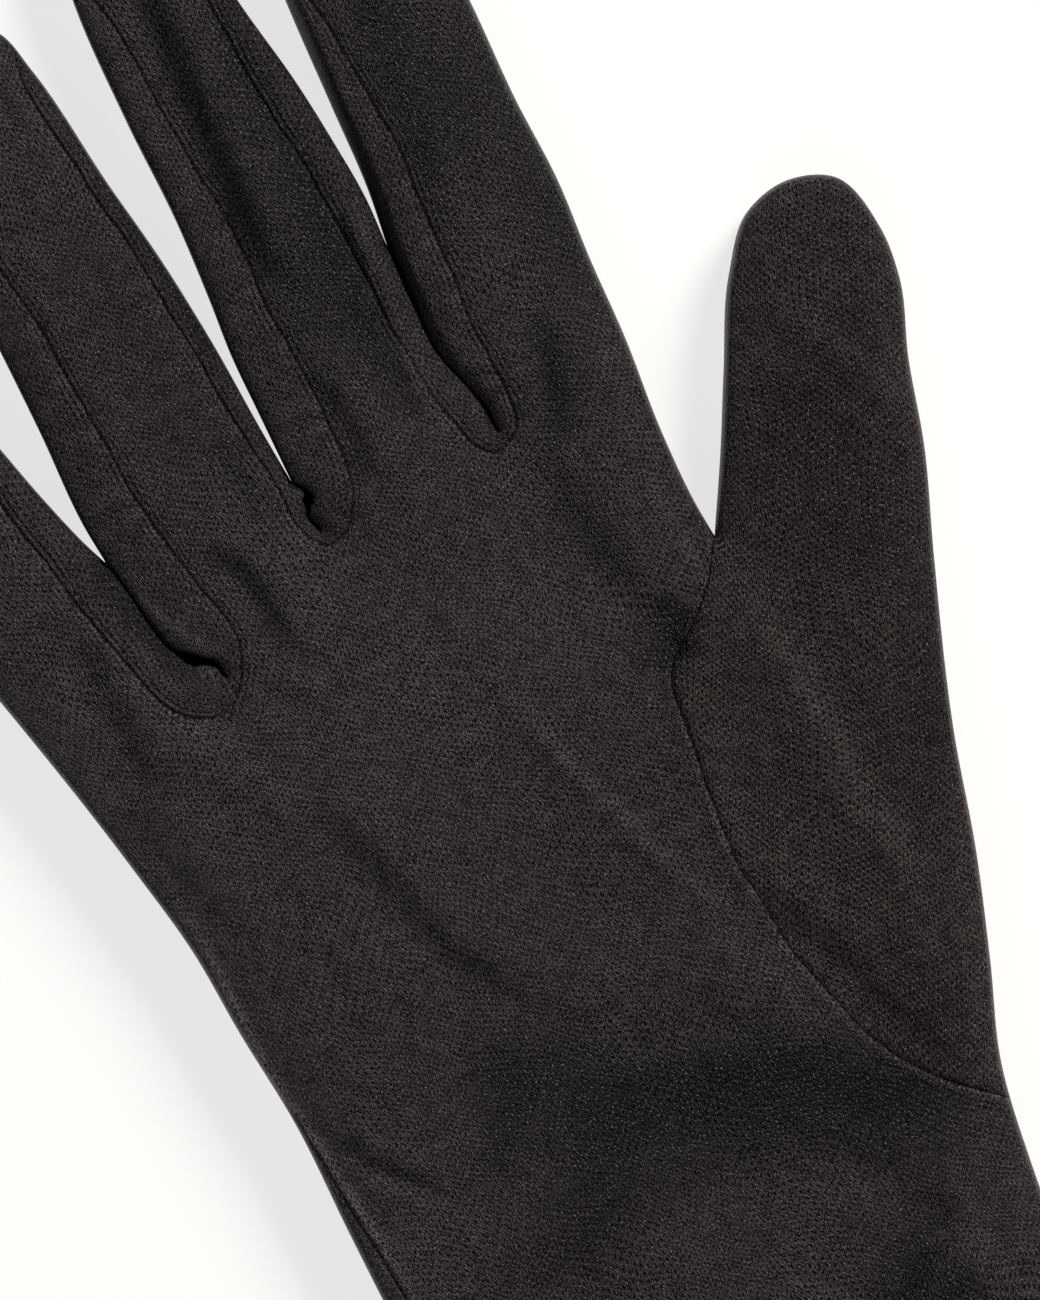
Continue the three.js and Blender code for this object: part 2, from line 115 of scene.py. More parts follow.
# painted shade in a seam's groove and painted light on the ribs beside it
PAINTED_RIB_SHADE = 0.25
# the brightest painted highlight, as a shade
BRIGHTEST_PAINTED_HIGHLIGHT = 3.2
RIB_FADE = (0.3, 2.6)  # mm from a seam, from where the ribs beside it fade to where they are gone

# The meshes
EDGE_STEP = 0.6  # mm, between two points of an outline
EDGE_ROWS = (0.12, 0.34, 0.68, 1.15)  # mm, rows of points inside each outline
LINE_ROWS = (0.16, 0.4, 0.8)  # mm, rows of points beside a line inside a piece
STRIP_ROWS = (0.12, 0.3, 0.52, 0.8, 1.15, 1.55)  # mm, the same in a side strip
UPPER_SPACING = {"trank": 0.92, "thumb": 0.84, "strip": 0.5}  # mm, between points of the upper cloth
UNDER_SPACING = 1.7  # mm, between points of the cloth that lies on the table
ROW_CLEARANCE = 0.93  # share of a row's own distance that it keeps from every other edge
LINE_CLEARANCE = 0.4  # mm, from the rows beside a line to the outline
LINE_END = 0.12  # mm, from a line's end to the outline
GRID_CLEARANCE = 0.3  # of the spacing, between the rows and the points that fill the rest
MERGE_DISTANCE = 1e-5  # mm
CLEFT_STEP = 0.4  # mm, between two points of a cleft between fingers
GAP_STEP = 1.0  # mm, the same of the middle of a gap

# The little finger's side of the hand, from the wrist up to the root of the finger.
LITTLE_SIDE = (
    (-53.0, 0), (-53.4, 18), (-54.0, 36), (-54.3, 52), (-54.0, 70), (-53.5, 86),
    (-54.4, 101), (-54.8, 113), (-56.6, 126), (-58.6, 138),
)
# The lowest point of the open air between two fingers, and between index finger and thumb.
GAP_ENDS = {
    "ring_little": (-40.7, 164.3),
    "middle_ring": (-13.8, 162.3),
    "index_middle": (12.2, 184.1),
    "thumb_index": (32.6, 129.5),
}
# Each finger's two edges from the gap up, and how far its tip rounds off above them.
FINGERS = {
    "little": {
        "left": ((-60.9, 150), (-64.0, 165), (-65.9, 175), (-67.9, 187), (-69.0, 197)),
        "right": ((-41.9, 167.7), (-43.9, 175), (-46.6, 187), (-49.0, 197)),
    },
    "ring": {
        "left": ((-41.0, 169.5), (-40.3, 184), (-39.9, 197), (-39.6, 211), (-38.6, 227)),
        "right": ((-14.1, 170), (-14.4, 183.6), (-15.3, 197), (-16.7, 208.5), (-18.6, 227)),
    },
    "middle": {
        "left": ((-13.4, 172), (-13.0, 181), (-12.1, 188.8), (-11.1, 200), (-10.7, 215), (-9.2, 234)),
        "right": ((12.7, 190.8), (12.4, 200), (11.8, 208.5), (10.0, 222.4), (9.2, 234)),
    },
    "index": {
        "left": ((13.4, 191.4), (14.4, 204), (15.6, 219.4), (16.2, 225)),
        "right": (
            (32.4, 134), (32.9, 145), (34.5, 158.5), (35.3, 170), (36.4, 181), (36.5, 193.4),
            (37.3, 208), (37.2, 225),
        ),
    },
}
FINGERTIP = 12.0  # mm
# The thumb's edge from its fork round the tip and down, and on along the wrist.
THUMB_EDGE = (
    (38.6, 139.1), (43.9, 148.2), (50.6, 159.3), (56.6, 165.5), (63.2, 166.8), (69.1, 164.3),
    (71.4, 155.3), (70.5, 148.2), (66.6, 138.4), (62.9, 126.9), (57.3, 113.7), (48.5, 91.4),
    (43.7, 76.1), (38.5, 62.3), (33.5, 49.9), (30.7, 36.2), (28.6, 18), (27.5, 0),
)
THUMB_TURN = math.radians(28)  # how far the thumb leans over from the hand
THUMB_ROOT = (16.0, 68.2)  # the foot of its middle line
# The seam round the thumb's base, from its fork down to the wrist.
THUMB_SEAM = (
    (29.1, 124.6), (25.1, 120.8), (19.4, 116.5), (17.4, 109.4), (15.7, 98.3), (14.7, 89.0),
    (14.9, 84.0), (15.8, 75.7), (17.5, 67.9), (19.5, 60.6), (23.0, 54.8), (26.5, 50.4),
    (30.8, 46.4), (36, 42.4),
)
# The seams of each side strip: down one finger, round the fork and up the next.
STRIP_SEAMS = {
    "ring_little": (
        (-49.0, 203.5), (-50.6, 197), (-50.2, 187), (-48.9, 175), (-46.9, 163), (-45.1, 153.5),
        (-43.4, 146.2), (-41.6, 142.3), (-39.6, 140.2), (-37.1, 139.2), (-34.2, 139.9), (-32.0, 142.3),
        (-30.3, 146.2), (-30.0, 150.5), (-31.1, 155.4), (-32.8, 165.9), (-33.4, 178.6), (-33.9, 197),
        (-35.4, 211), (-37.0, 227), (-38.4, 234),
    ),
    "middle_ring": (
        (-18.4, 234), (-20.2, 227), (-19.3, 211), (-17.9, 196.3), (-17.2, 182), (-16.3, 166.8),
        (-15.8, 161), (-15.8, 156.8), (-15.0, 154.0), (-13.2, 152.3), (-10.5, 153.0), (-7.7, 156.3),
        (-6.3, 161.4), (-5.7, 170), (-5.8, 182), (-5.1, 198.1), (-5.9, 210), (-6.1, 225), (-7.6, 234),
        (-9.2, 241),
    ),
    "index_middle": (
        (9.2, 241), (7.6, 234), (6.4, 222.7), (6.7, 208), (7.6, 195.6), (7.7, 181.5), (7.7, 169),
        (8.2, 162.3), (9.3, 158), (10.1, 154.9), (11.8, 152.9), (14.3, 153.2), (16.3, 155.2),
        (16.9, 158.5), (17.1, 166.8), (18.3, 181.3), (19.5, 197), (19.1, 208), (18.4, 219),
        (17.6, 226), (16.2, 232),
    ),
}
# Where the two fingers of a fork touch below the open air, down to the crotch.
CLEFTS = {
    "ring_little": (
        (-40.2, 162.0), (-39.7, 158.5), (-39.2, 153.9), (-38.3, 150.1), (-36.2, 147.2),
        (-34.1, 145.6), (-33.7, 143.6),
    ),
    "middle_ring": ((-12.6, 159.8), (-13.3, 158.4), (-13.9, 157.2), (-13.4, 154.8)),
    "index_middle": ((11.6, 175.7), (11.4, 168.2), (12.8, 162.6), (13.6, 159.0), (13.6, 155.7)),
}
# The middle of the open air between two fingers, up from its lowest point.
GAP_MIDDLES = {
    "ring_little": ((-42.4, 172), (-43.4, 184), (-44.3, 200), (-44, 235)),
    "middle_ring": ((-13.8, 172), (-13.7, 184), (-13.7, 197), (-13.9, 211), (-14, 245)),
    "index_middle": ((13.0, 192), (13.2, 203), (13.0, 215), (12.5, 250)),
}
# How the cloth meets a gap on its left and on its right: its height at the gap as a share of its
# full height, the same at the slit's lower end, how far in the cloth reaches full height, and how
# wide the roll at its edge is, in mm.
GAP_SIDES = {
    "ring_little": ((0.95, 0.90, 3.0, 0.14), (0.95, 0.95, 2.0, 0.2)),
    "middle_ring": ((0.90, 0.84, 2.4, 0.2), (0.92, 0.92, 2.4, 0.2)),
    "index_middle": ((0.90, 0.93, 2.4, 0.14), (0.42, 0.88, 2.1, 0.2)),
}
LIP_CHANGE = (6, 26)  # mm up from the slit's lower end, where its sides change from one to the other
SIDES_PART = 4.0  # mm up from there, where its left and right are fully unlike
GAP_REACH = (9, 12)  # mm from a gap's middle, where its sides give way to the glove's own edge
FINGER_SHARE = 0.16  # share of the finger's own roundness that is left beside a gap
# Where a slit between two fingers gapes: mm up from its lower end, how far each way, half its width.
SLIT_GAPES = {
    "ring_little": ((5.2, 1.9, 0.6), (3.0, 1.6, 0.35)),
    "middle_ring": ((4.6, 0.9, 0.6),),
    "index_middle": ((3.0, 2.6, 0.12),),
}
# The outseam that closes the trank along the little finger's side.
OUTSEAM = (
    (-54.6, 108.5), (-54.2, 103), (-53.7, 95), (-52.9, 87), (-52.4, 78), (-51.8, 67), (-51.2, 58),
    (-50.7, 40), (-50.2, 20), (-49.9, 1.0),
)

# Height of the upper cloth over the table, up the hand and up the thumb: (mm along, mm high).
HAND_HEIGHTS = (
    (0, 7.4), (18, 7.5), (36, 7.8), (50, 8.2), (62, 8.6), (82, 9.0), (114, 9.0), (135, 8.7),
    (152, 8.0), (185, 7.8), (225, 7.5), (246, 6.6),
)
THUMB_HEIGHTS = ((-9, 8.3), (20, 9.0), (44, 9.5), (62, 9.1), (86, 8.4), (110, 7.8))
PALM_ROLL = 14.0  # mm, how far in from its edge the palm reaches its full height
FINGER_ROLL = 8.6  # mm, the same on a finger
THUMB_ROLL = 11.0  # mm, and on the thumb
KNUCKLES = (118, 158)  # mm up the hand, where the palm's roundness changes to the fingers'
EDGE_ROLL = 0.60  # mm, the tight roll at the very edge
EDGE_SHARE = 0.73  # share of the height that the tight roll reaches
PAINTED_RIM_WIDTH = 0.6  # mm, of the outermost rim, where shade is painted on the silk
PAINTED_RIM_SHADE = -0.7  # how much darker the painted shade makes the silk there
SLOPE_CLOTH = 0.8  # mm of cloth for each mm that it drops in a slope
AT_EDGE = 0.1  # mm, so near the edge the cloth faces straight outward
UNDERSIDE_ROLL = 4.0  # mm, how far in from the edge the underside is lifted
# Gentle waves all over: their length and height in mm, a seed, and how much longer they run lengthwise.
CRUMPLES = ((34, 0.14, 1, 1.6), (14, 0.06, 2, 1.4), (7, 0.03, 3, 1.0))
FOLD_FADE = 5.0  # mm, how near the edge the folds and waves fade out

# Lines that a fold and a step share
MIDDLE_DENT = ((1.6, 242), (0.5, 229), (-1.1, 211), (-2.1, 191), (-2.6, 180))
MIDDLE_BASE_DENT = ((-2.6, 177), (-2.7, 171), (-2.5, 164), (-2.8, 154))
RING_CRESCENT = ((-29.6, 161.5), (-25.4, 156.5), (-23.7, 151), (-23.8, 146), (-25.4, 140))
PALM_RIDGE = ((-2.4, 127), (-1, 118.7), (1.2, 110), (4, 101), (6.7, 92), (10.9, 84))
WRIST_CORNER = ((0, 24), (8.5, 30), (14, 33), (21, 35))
WRIST_LINE = ((-51, 85.6), (-47.6, 77.8), (-43.5, 72.6), (-38.6, 66.3))
# Soft folds of the upper cloth: a line through a few points, how wide it is and how far it rises.
FOLDS = (
    ("middle finger dent", MIDDLE_DENT, 2.2, 0.3),
    ("middle finger, slit side", ((10.2, 195), (9.3, 183), (8.5, 174), (7, 165), (6.7, 160)), 1.5, 1.3),
    ("middle finger base dent", MIDDLE_BASE_DENT, 1.5, 0.4),
    ("index finger dent", ((28, 222), (26.7, 213), (24.7, 202), (23.5, 192), (21.8, 183)), 3, 0.5),
    ("ring base crescent", RING_CRESCENT, 1.7, 0.2),
    ("thumb fork pit", ((21.6, 127), (20.6, 121), (18.6, 115)), 3, -0.9),
    ("palm ridge", PALM_RIDGE, 1.4, 0.5),
    ("thumb crease", ((52.8, 157), (55.8, 149), (59.2, 141), (65, 130)), 2, 0.35),
    ("thumb seam swell", ((2, 96), (6, 86), (9, 76), (15, 64)), 3.4, 0.2),
    ("wrist corner", WRIST_CORNER, 3, -1),
    ("wrist line", WRIST_LINE, 1.2, -0.6),
)
# Steps, where the cloth stands higher on the left of the line than on its right.
STEPS = (
    ("middle finger dent", MIDDLE_DENT, 2.1, 2.9),
    ("middle finger base dent", MIDDLE_BASE_DENT, 1.5, 1),
    ("index finger low dent", ((26.6, 168), (24.8, 161.6), (22.9, 155), (19.9, 150)), 1.4, 0.5),
    ("index base valley", ((19.9, 153.7), (17.9, 144), (18.6, 137), (20.2, 130), (22.1, 124)), 2.4, 1.4),
    ("ring base crescent", RING_CRESCENT, 1.7, 1.8),
    ("ring base foot", ((-30.1, 140), (-26.3, 136.3), (-23.1, 131)), 1.5, 0.6),
    ("little base dent", ((-45.5, 161), (-47.9, 151), (-48.4, 143), (-48.8, 136.6), (-49.1, 131)), 2.2, 2),
    (
        "palm valley",
        ((-34, 127), (-30.7, 122.4), (-28.2, 114.3), (-26.6, 106), (-24.1, 98), (-19.6, 89.3),
         (-14.4, 82)),
        2, 1.5,
    ),
    ("palm ridge", PALM_RIDGE[::-1], 1.4, 0.5),
    ("palm line", ((-6.3, 145.7), (-5.3, 136), (-4, 127), (-2.7, 121)), 1.2, 0.3),
    ("side valley", ((-51.5, 135.7), (-51, 122.6), (-49.3, 117.2), (-48.3, 110.6)), 2, 1.3),
    (
        "thumb ridge",
        ((37.2, 71), (34.8, 82.3), (33.9, 93.4), (34.2, 104), (33.6, 115.5), (32.9, 128)),
        2.2, 1.6,
    ),
    ("thumb hollow", ((55.6, 113), (52, 124.6), (48, 134), (42.3, 145)), 5, 1.3),
    (
        "thumb base valley",
        ((15.2, 89.4), (18, 80.7), (21.5, 72.8), (24.2, 63.8), (27.6, 54.5), (30, 48)),
        2.2, 1.6,
    ),
    (
        "heel upper edge",
        ((-17.3, 85), (-6.5, 77), (1.9, 75.7), (7, 68.4), (15.8, 59.2), (29.5, 48.2)),
        2.5, 0.6,
    ),
    ("heel lobe", ((-38, 47), (-31.5, 52.7), (-24, 58), (-18, 63.5), (-13.7, 75)), 4.5, 2.1),
    ("heel swell edge", ((-25, 53.7), (-17.7, 56), (-5.5, 56), (4, 54), (12.5, 47.4), (21.5, 36)), 3, 1.3),
    ("wrist corner", WRIST_CORNER[::-1], 3, 3),
    ("wrist line", WRIST_LINE, 1.2, 0.5),
    ("little side line", ((-37.9, 109), (-38.8, 95.8), (-39.7, 85)), 1.5, 0.3),
    ("heel's left edge", ((-24, 92.4), (-26.7, 78.8), (-33.5, 67.3)), 2, 0.7),
    ("index side line", ((31.4, 137), (31.1, 147.7), (32, 160.8), (32.3, 172.7)), 1.6, 0.2),
)
# Painted shade and painted light on the silk, where folds, pits, slits and rims lie in shade or catch the
# light: a line, its width and the change.
PAINTED_SHADE_LINES = (
    ("heel", ((-31.2, 87), (-11.5, 67.7), (8.3, 59.4), (29.7, 42.8)), 7, -1.1),
    ("heel lobe", ((-13.7, 75), (-21.2, 60.8), (-35.2, 48.6)), 6, -0.7),
    ("thumb middle", ((46.6, 148.5), (50.9, 128), (51, 111.5)), 8, -0.85),
    ("thumb tip side", ((65.5, 167), (64.5, 151), (63, 137)), 5, -0.6),
    ("palm", ((-36, 138), (-11.2, 128), (17.6, 133.7)), 12, 0.22),
    ("thumb fork pit", ((21.6, 127), (20.6, 121.3), (18.6, 115)), 3.2, -0.9),
    ("middle finger", ((6.9, 233), (5.1, 207), (3.3, 180.6), (2.8, 162.7)), 8, -0.7),
    ("ring finger", ((-21, 214.6), (-21, 189), (-21, 163.3)), 8, -0.3),
    ("wrist corner", ((2.4, 25.6), (13.9, 30)), 6, -0.9),
    ("index finger dent", ((26.9, 222.4), (26.5, 204.5), (24.8, 184.3)), 5, -0.95),
    ("index finger's outer side", ((37.5, 216.7), (35, 186.4), (33, 157)), 5, -0.75),
    ("index finger's foot", ((26, 170), (21, 148), (18, 126)), 7, -0.28),
    ("wrist, little side", ((-48.3, 72), (-49.4, 53)), 7, 0.3),
    ("thumb's outer side", ((57.3, 121.7), (51.5, 103.7), (43.2, 84)), 4, -0.6),
    ("heel's dark core", ((-10, 68), (-3, 66.5), (6.6, 61.9), (16.1, 54.2), (27, 43)), 3.2, -1.1),
    ("heel, left end", ((-25.1, 88), (-24.9, 77.8), (-31.1, 70.5), (-37, 64)), 3, -0.5),
    ("thumb, seam side", ((23.2, 120), (20.9, 110.9), (17.9, 95.9), (19.9, 81.2), (22, 69)), 3, 0.25),
    (
        "middle finger's right edge",
        ((7.6, 232), (6.4, 197.8), (5.7, 182.3), (4.2, 169.6), (4.6, 157)),
        2, -0.75,
    ),
    ("ring finger's right edge", ((-17.4, 222), (-16, 205), (-15.2, 191.8), (-14.9, 174)), 1, -1.3),
    ("ring finger's foot", ((-20.2, 174), (-18.9, 164.5), (-19.6, 156)), 2.4, -0.65),
    ("palm under the ring finger", ((-43, 142), (-37.3, 132.7), (-30.5, 121)), 2.4, 0.5),
    ("thumb fork pit, deep", ((14.6, 118), (20.8, 119.2), (25.2, 124.6)), 2, -0.8),
    ("index finger, low", ((27, 168), (23.4, 157.1), (20, 148)), 1.6, -1),
    ("thumb tip, light", ((60, 162), (63.9, 149.9), (65, 138)), 3, 0.3),
    ("thumb base, right end", ((27, 76), (29.3, 64.9), (31.6, 54)), 2.4, -0.6),
    ("wrist corner, edge", ((10, 37), (13.8, 28.6), (17, 20)), 3, -0.9),
    ("index finger, dent's low end", ((24.6, 200), (21.6, 186), (20.6, 174)), 2, -0.4),
    (
        "little finger, slit side",
        ((-41.8, 168), (-41.5, 163.4), (-41, 157.9), (-39.8, 151.9), (-38.3, 147.6), (-36.5, 144)),
        1.4, -1.3,
    ),
    (
        "ring finger, slit side",
        ((-39.3, 163), (-38.6, 157.6), (-36.8, 152.7), (-33.6, 147.9), (-31.5, 144)),
        0.9, 0.8,
    ),
    (
        "little finger's side, rim",
        ((-52.6, 128), (-52.8, 119.7), (-53, 102.9), (-53.1, 91.9), (-52.2, 84.8), (-51.7, 76.5),
         (-50.8, 68.3), (-50, 50)),
        0.7, 1.3,
    ),
    ("outer side of the outseam", ((-53.4, 84), (-53.2, 72), (-52.6, 58), (-52.2, 42)), 0.8, -0.5),
)
FOLD_STEP = 2.0  # mm, between two points of a fold's line
FOLD_TAPER = 0.28  # share of a fold's length over which each of its ends fades
STEP_REACH = 3.0  # how many widths away a step has sunk back

# The photograph's framing
CAMERA_AIM = (0.97, 5.24)  # mm in the part's frame, under the middle of the picture
CAMERA_TURN = math.radians(-28)
CAMERA_HEIGHT = 2.0  # m
VIEW_HEIGHT = 0.17333  # m, of the glove that the picture's height takes in
SENSOR_HEIGHT = 24.0  # mm


def spline(points, step):
    """Points at even steps along a smooth curve through the given ones."""
    knots = np.array(points, float)
    lengths = np.linalg.norm(np.diff(knots, axis=0), axis=1)
    slopes = np.diff(knots, axis=0) / lengths[:, None]
    tangents = np.empty_like(knots)
    tangents[0] = slopes[0]
    tangents[-1] = slopes[-1]
    before = lengths[:-1, None]
    after = lengths[1:, None]
    tangents[1:-1] = (slopes[:-1] * after + slopes[1:] * before) / (before + after)
    dense = []
    for k, length in enumerate(lengths):
        t = np.linspace(0, 1, max(int(length / step * 4), 4), endpoint=False)[:, None]
        dense.append(
            (2 * t**3 - 3 * t**2 + 1) * knots[k]
            + (t**3 - 2 * t**2 + t) * tangents[k] * length
            + (3 * t**2 - 2 * t**3) * knots[k + 1]
            + (t**3 - t**2) * tangents[k + 1] * length
        )
    return even(np.vstack([*dense, knots[-1:]]), step)


def arc_lengths(path):
    """How far along a path each of its points lies."""
    return np.concatenate([[0.0], np.cumsum(np.linalg.norm(np.diff(path, axis=0), axis=1))])


def even(path, step):
    """The same path with its points at even steps."""
    along = arc_lengths(path)
    count = max(int(round(along[-1] / step)), 2)
    places = np.linspace(0, along[-1], count + 1)
    return np.column_stack([np.interp(places, along, path[:, axis]) for axis in (0, 1)])


def wandering(path, reach, wavelength, seed):
    """The path as a hand-fed machine sews it: it strays a little to either side, in waves of
    three lengths."""
    random = np.random.default_rng(seed)
    along = arc_lengths(path)
    stray = np.zeros(len(path))
    for share in (1.0, 0.57, 0.31):
        phase = random.uniform(0, 2 * math.pi)
        stray += np.sin(2 * math.pi * along / (wavelength * share) + phase) * share
    ends = np.minimum(along, along[-1] - along) / wavelength
    return path + side_of_path(path) * (stray * reach * np.clip(ends, 0, 1))[:, None]


def side_of_path(path):
    """The direction to the left of a path at each of its points."""
    ahead = np.gradient(path, axis=0)
    ahead /= np.linalg.norm(ahead, axis=1)[:, None]
    return np.column_stack([-ahead[:, 1], ahead[:, 0]])


def side_of_outline(outline):
    """The same for a closed outline."""
    return side_of_path(np.vstack([outline[-1:], outline, outline[:1]]))[1:-1]


def anticlockwise(outline):
    """Whether a closed outline's points run anticlockwise."""
    steps = outline - np.roll(outline, 1, axis=0)
    return (outline[:, 0] * steps[:, 1] - outline[:, 1] * steps[:, 0]).sum() > 0


def meetings(path, edge):
    """Where a path crosses the edge: its place along each, counted in points."""
    found = []
    starts = edge[:-1]
    spans = np.diff(edge, axis=0)
    for i in range(len(path) - 1):
        step = path[i + 1] - path[i]
        cross = step[0] * spans[:, 1] - step[1] * spans[:, 0]
        cross[cross == 0] = np.inf
        away = starts - path[i]
        t = (away[:, 0] * spans[:, 1] - away[:, 1] * spans[:, 0]) / cross
        s = (away[:, 0] * step[1] - away[:, 1] * step[0]) / cross
        for j in np.flatnonzero((t >= 0) & (t < 1) & (s >= 0) & (s < 1)):
            found.append((i + t[j], j + s[j]))
    return found


def stretch(path, start, end):
    """The part of a path between two places along it, counted in points."""
    counts = np.arange(len(path))
    apart = 0.2  # of the way between two points, so that none lies close beside an end
    inner = counts[(counts > start + apart) & (counts < end - apart)]
    places = np.concatenate([[start], inner, [end]])
    return np.column_stack([np.interp(places, counts, path[:, axis]) for axis in (0, 1)])


class Nearest:
    """Finds the nearest place on a path for many points at once."""

    def __init__(self, path):
        self.path = path
        self.along = arc_lengths(path)
        self.tree = kdtree.KDTree(len(path))
        for k, (x, y) in enumerate(path):
            self.tree.insert((x, y, 0), k)
        self.tree.balance()

    def __call__(self, points):
        """Distance, place along the path in mm, and which side of it (+1 is left)."""
        index = np.array([self.tree.find((x, y, 0))[1] for x, y in points])
        spans = [np.clip(first, 0, len(self.path) - 2) for first in (index - 1, index)]
        return nearest_on(self.path, self.along, spans, points)


def nearest_on(path, along, spans, points):
    """The nearest place to each point on the spans of a path that are tried: distance, place
    along the path, and which side of it (+1 is left)."""
    best = np.full(len(points), np.inf)
    place = np.zeros(len(points))
    side = np.ones(len(points))
    for k in spans:
        span = path[k + 1] - path[k]
        away = points - path[k]
        t = np.clip((away * span).sum(-1) / (span**2).sum(-1), 0, 1)
        distance = np.linalg.norm(away - span * t[:, None], axis=1)
        nearer = distance < best
        best[nearer] = distance[nearer]
        place[nearer] = (along[k] + t * (along[k + 1] - along[k]))[nearer]
        side[nearer] = np.sign(span[..., 0] * away[:, 1] - span[..., 1] * away[:, 0])[nearer]
    return best, place, side


def beside_fold(points, line):
    """How far to the left of a fold's line each point is, and how strong the fold is there."""
    path = spline(line, FOLD_STEP)
    along = arc_lengths(path) / arc_lengths(path)[-1]
    apart, share, side = nearest_on(path, along, range(len(path) - 1), points)
    strength = smooth_step(0, FOLD_TAPER, share) * smooth_step(0, FOLD_TAPER, 1 - share)
    return apart * side, strength


def inside(points, outline):
    """Which points lie inside a closed outline."""
    result = np.zeros(len(points), bool)
    ends = np.roll(outline, -1, axis=0)
    for a, b in zip(outline, ends):
        if a[1] == b[1]:
            continue
        crossing = (a[1] > points[:, 1]) != (b[1] > points[:, 1])
        reach = a[0] + (points[:, 1] - a[1]) * (b[0] - a[0]) / (b[1] - a[1])
        result ^= crossing & (points[:, 0] < reach)
    return result


# The glove's edge from the wrist round the fingers and the thumb and back to the wrist
def finger_edge(name, before, after):
    """One finger's edge from the gap before it, over the tip, to the gap after it."""
    left = FINGERS[name]["left"]
    right = FINGERS[name]["right"]
    middle = (left[-1][0] + right[-1][0]) / 2
    half = (right[-1][0] - left[-1][0]) / 2
    tip = []
    for degrees in (150, 120, 90, 60, 30):
        angle = math.radians(degrees)
        tip.append((middle + half * math.cos(angle), left[-1][1] + FINGERTIP * math.sin(angle)))
    return spline((*before, *left, *tip, *reversed(right), after), EDGE_STEP)


EDGE_SECTIONS = (
    finger_edge("little", LITTLE_SIDE, GAP_ENDS["ring_little"]),
    finger_edge("ring", (GAP_ENDS["ring_little"],), GAP_ENDS["middle_ring"]),
    finger_edge("middle", (GAP_ENDS["middle_ring"],), GAP_ENDS["index_middle"]),
    finger_edge("index", (GAP_ENDS["index_middle"],), GAP_ENDS["thumb_index"]),
    spline((GAP_ENDS["thumb_index"], *THUMB_EDGE), EDGE_STEP),
)
EDGE = np.vstack([section[:-1] for section in EDGE_SECTIONS] + [EDGE_SECTIONS[-1][-1:]])
THUMB_FORK = sum(len(section) - 1 for section in EDGE_SECTIONS[:-1])

SEAMS = {
    name: wandering(spline(line, EDGE_STEP), reach=0.10, wavelength=17.0, seed=seed)
    for seed, (name, line) in enumerate(STRIP_SEAMS.items(), start=11)
}
THUMB_SEAM_LINE = spline((GAP_ENDS["thumb_index"], *THUMB_SEAM), EDGE_STEP)
SEAMS["thumb"] = wandering(THUMB_SEAM_LINE, reach=0.12, wavelength=21.0, seed=5)
CLEFT_LINES = {name: spline((GAP_ENDS[name], *line), CLEFT_STEP) for name, line in CLEFTS.items()}
OUTSEAM_LINE = wandering(spline(OUTSEAM, EDGE_STEP), reach=0.06, wavelength=23.0, seed=8)

near_edge = Nearest(EDGE)
near_seam = {name: Nearest(path) for name, path in SEAMS.items()}
near_cleft = {name: Nearest(path) for name, path in CLEFT_LINES.items()}
near_outseam = Nearest(OUTSEAM_LINE)
near_gap = {
    name: Nearest(spline((*CLEFTS[name][::-1], GAP_ENDS[name], *line), GAP_STEP))
    for name, line in GAP_MIDDLES.items()
}


def half_seams(name):
    """Finders of the nearest place on a strip's seam up to the fork and after it, each drawn
    straight on past the fork, and how far along the seam the second one starts."""
    path = SEAMS[name]
    sides = near_gap[name](path)[2]
    fork = int(np.flatnonzero(sides < 0)[0])
    ahead = path[fork + 1] - path[fork - 1]
    ahead *= PAST_FORK / np.linalg.norm(ahead)
    left = np.vstack([path[:fork + 1], path[fork] + ahead])
    right = np.vstack([path[fork] - ahead, path[fork:]])
    return Nearest(left), Nearest(right), arc_lengths(path)[fork] - PAST_FORK


near_half_seams = {name: half_seams(name) for name in GAP_MIDDLES}


def roll(share):
    """From 0 at a rolled edge to 1 where the cloth has reached its full height."""
    return np.sqrt(1 - (1 - np.clip(share, 0, 1)) ** 2)


def smooth_step(low, high, value):
    """From 0 at the low value to 1 at the high one."""
    t = np.clip((value - low) / (high - low), 0, 1)
    return t * t * (3 - 2 * t)


def bell(distance, width):
    """From 1 in the middle to nothing a few widths away."""
    return np.exp(-((distance / width) ** 2))


def ridge(distance, height, width, place=0):
    """A soft ridge along a line, some way from it."""
    return height * bell(distance - place, width)


def turned_edge(distance, depth, width):
    """How far a rolled edge lies under the cloth that it ends."""
    return depth * (1 - roll(distance / width))


def uneven_wave(along, length, sway, sway_length):
    """A wave along a seam that is now shorter and now longer."""
    return np.sin(along / length + sway * np.sin(along / sway_length))


def hem_share(along):
    """From 1 on the turned hem to 0 above it."""
    return 1 - smooth_step(HEM_WIDTH - HEM_SOFTNESS, HEM_WIDTH + HEM_SOFTNESS, along)


def crumple(points, wavelength, height, seed, lengthwise):
    """Gentle uneven waves, as of cloth that has been worn and laid down."""
    random = np.random.default_rng(seed)
    result = np.zeros(len(points))
    waves = 14
    for _ in range(waves):
        turn = random.uniform(0, 2 * math.pi)
        length = wavelength * random.uniform(0.75, 1.4)
        phase = random.uniform(0, 2 * math.pi)
        x = points[:, 0] * math.cos(turn)
        y = points[:, 1] * math.sin(turn) / lengthwise
        result += np.sin(2 * math.pi * (x + y) / length + phase)
    return result * height / math.sqrt(waves / 2)


def edge_distance(points):
    """Distance to the nearest rolled edge: the glove's own or a cleft between fingers."""
    distance = near_edge(points)[0]
    for near in near_cleft.values():
        distance = np.minimum(distance, near(points)[0])
    return distance


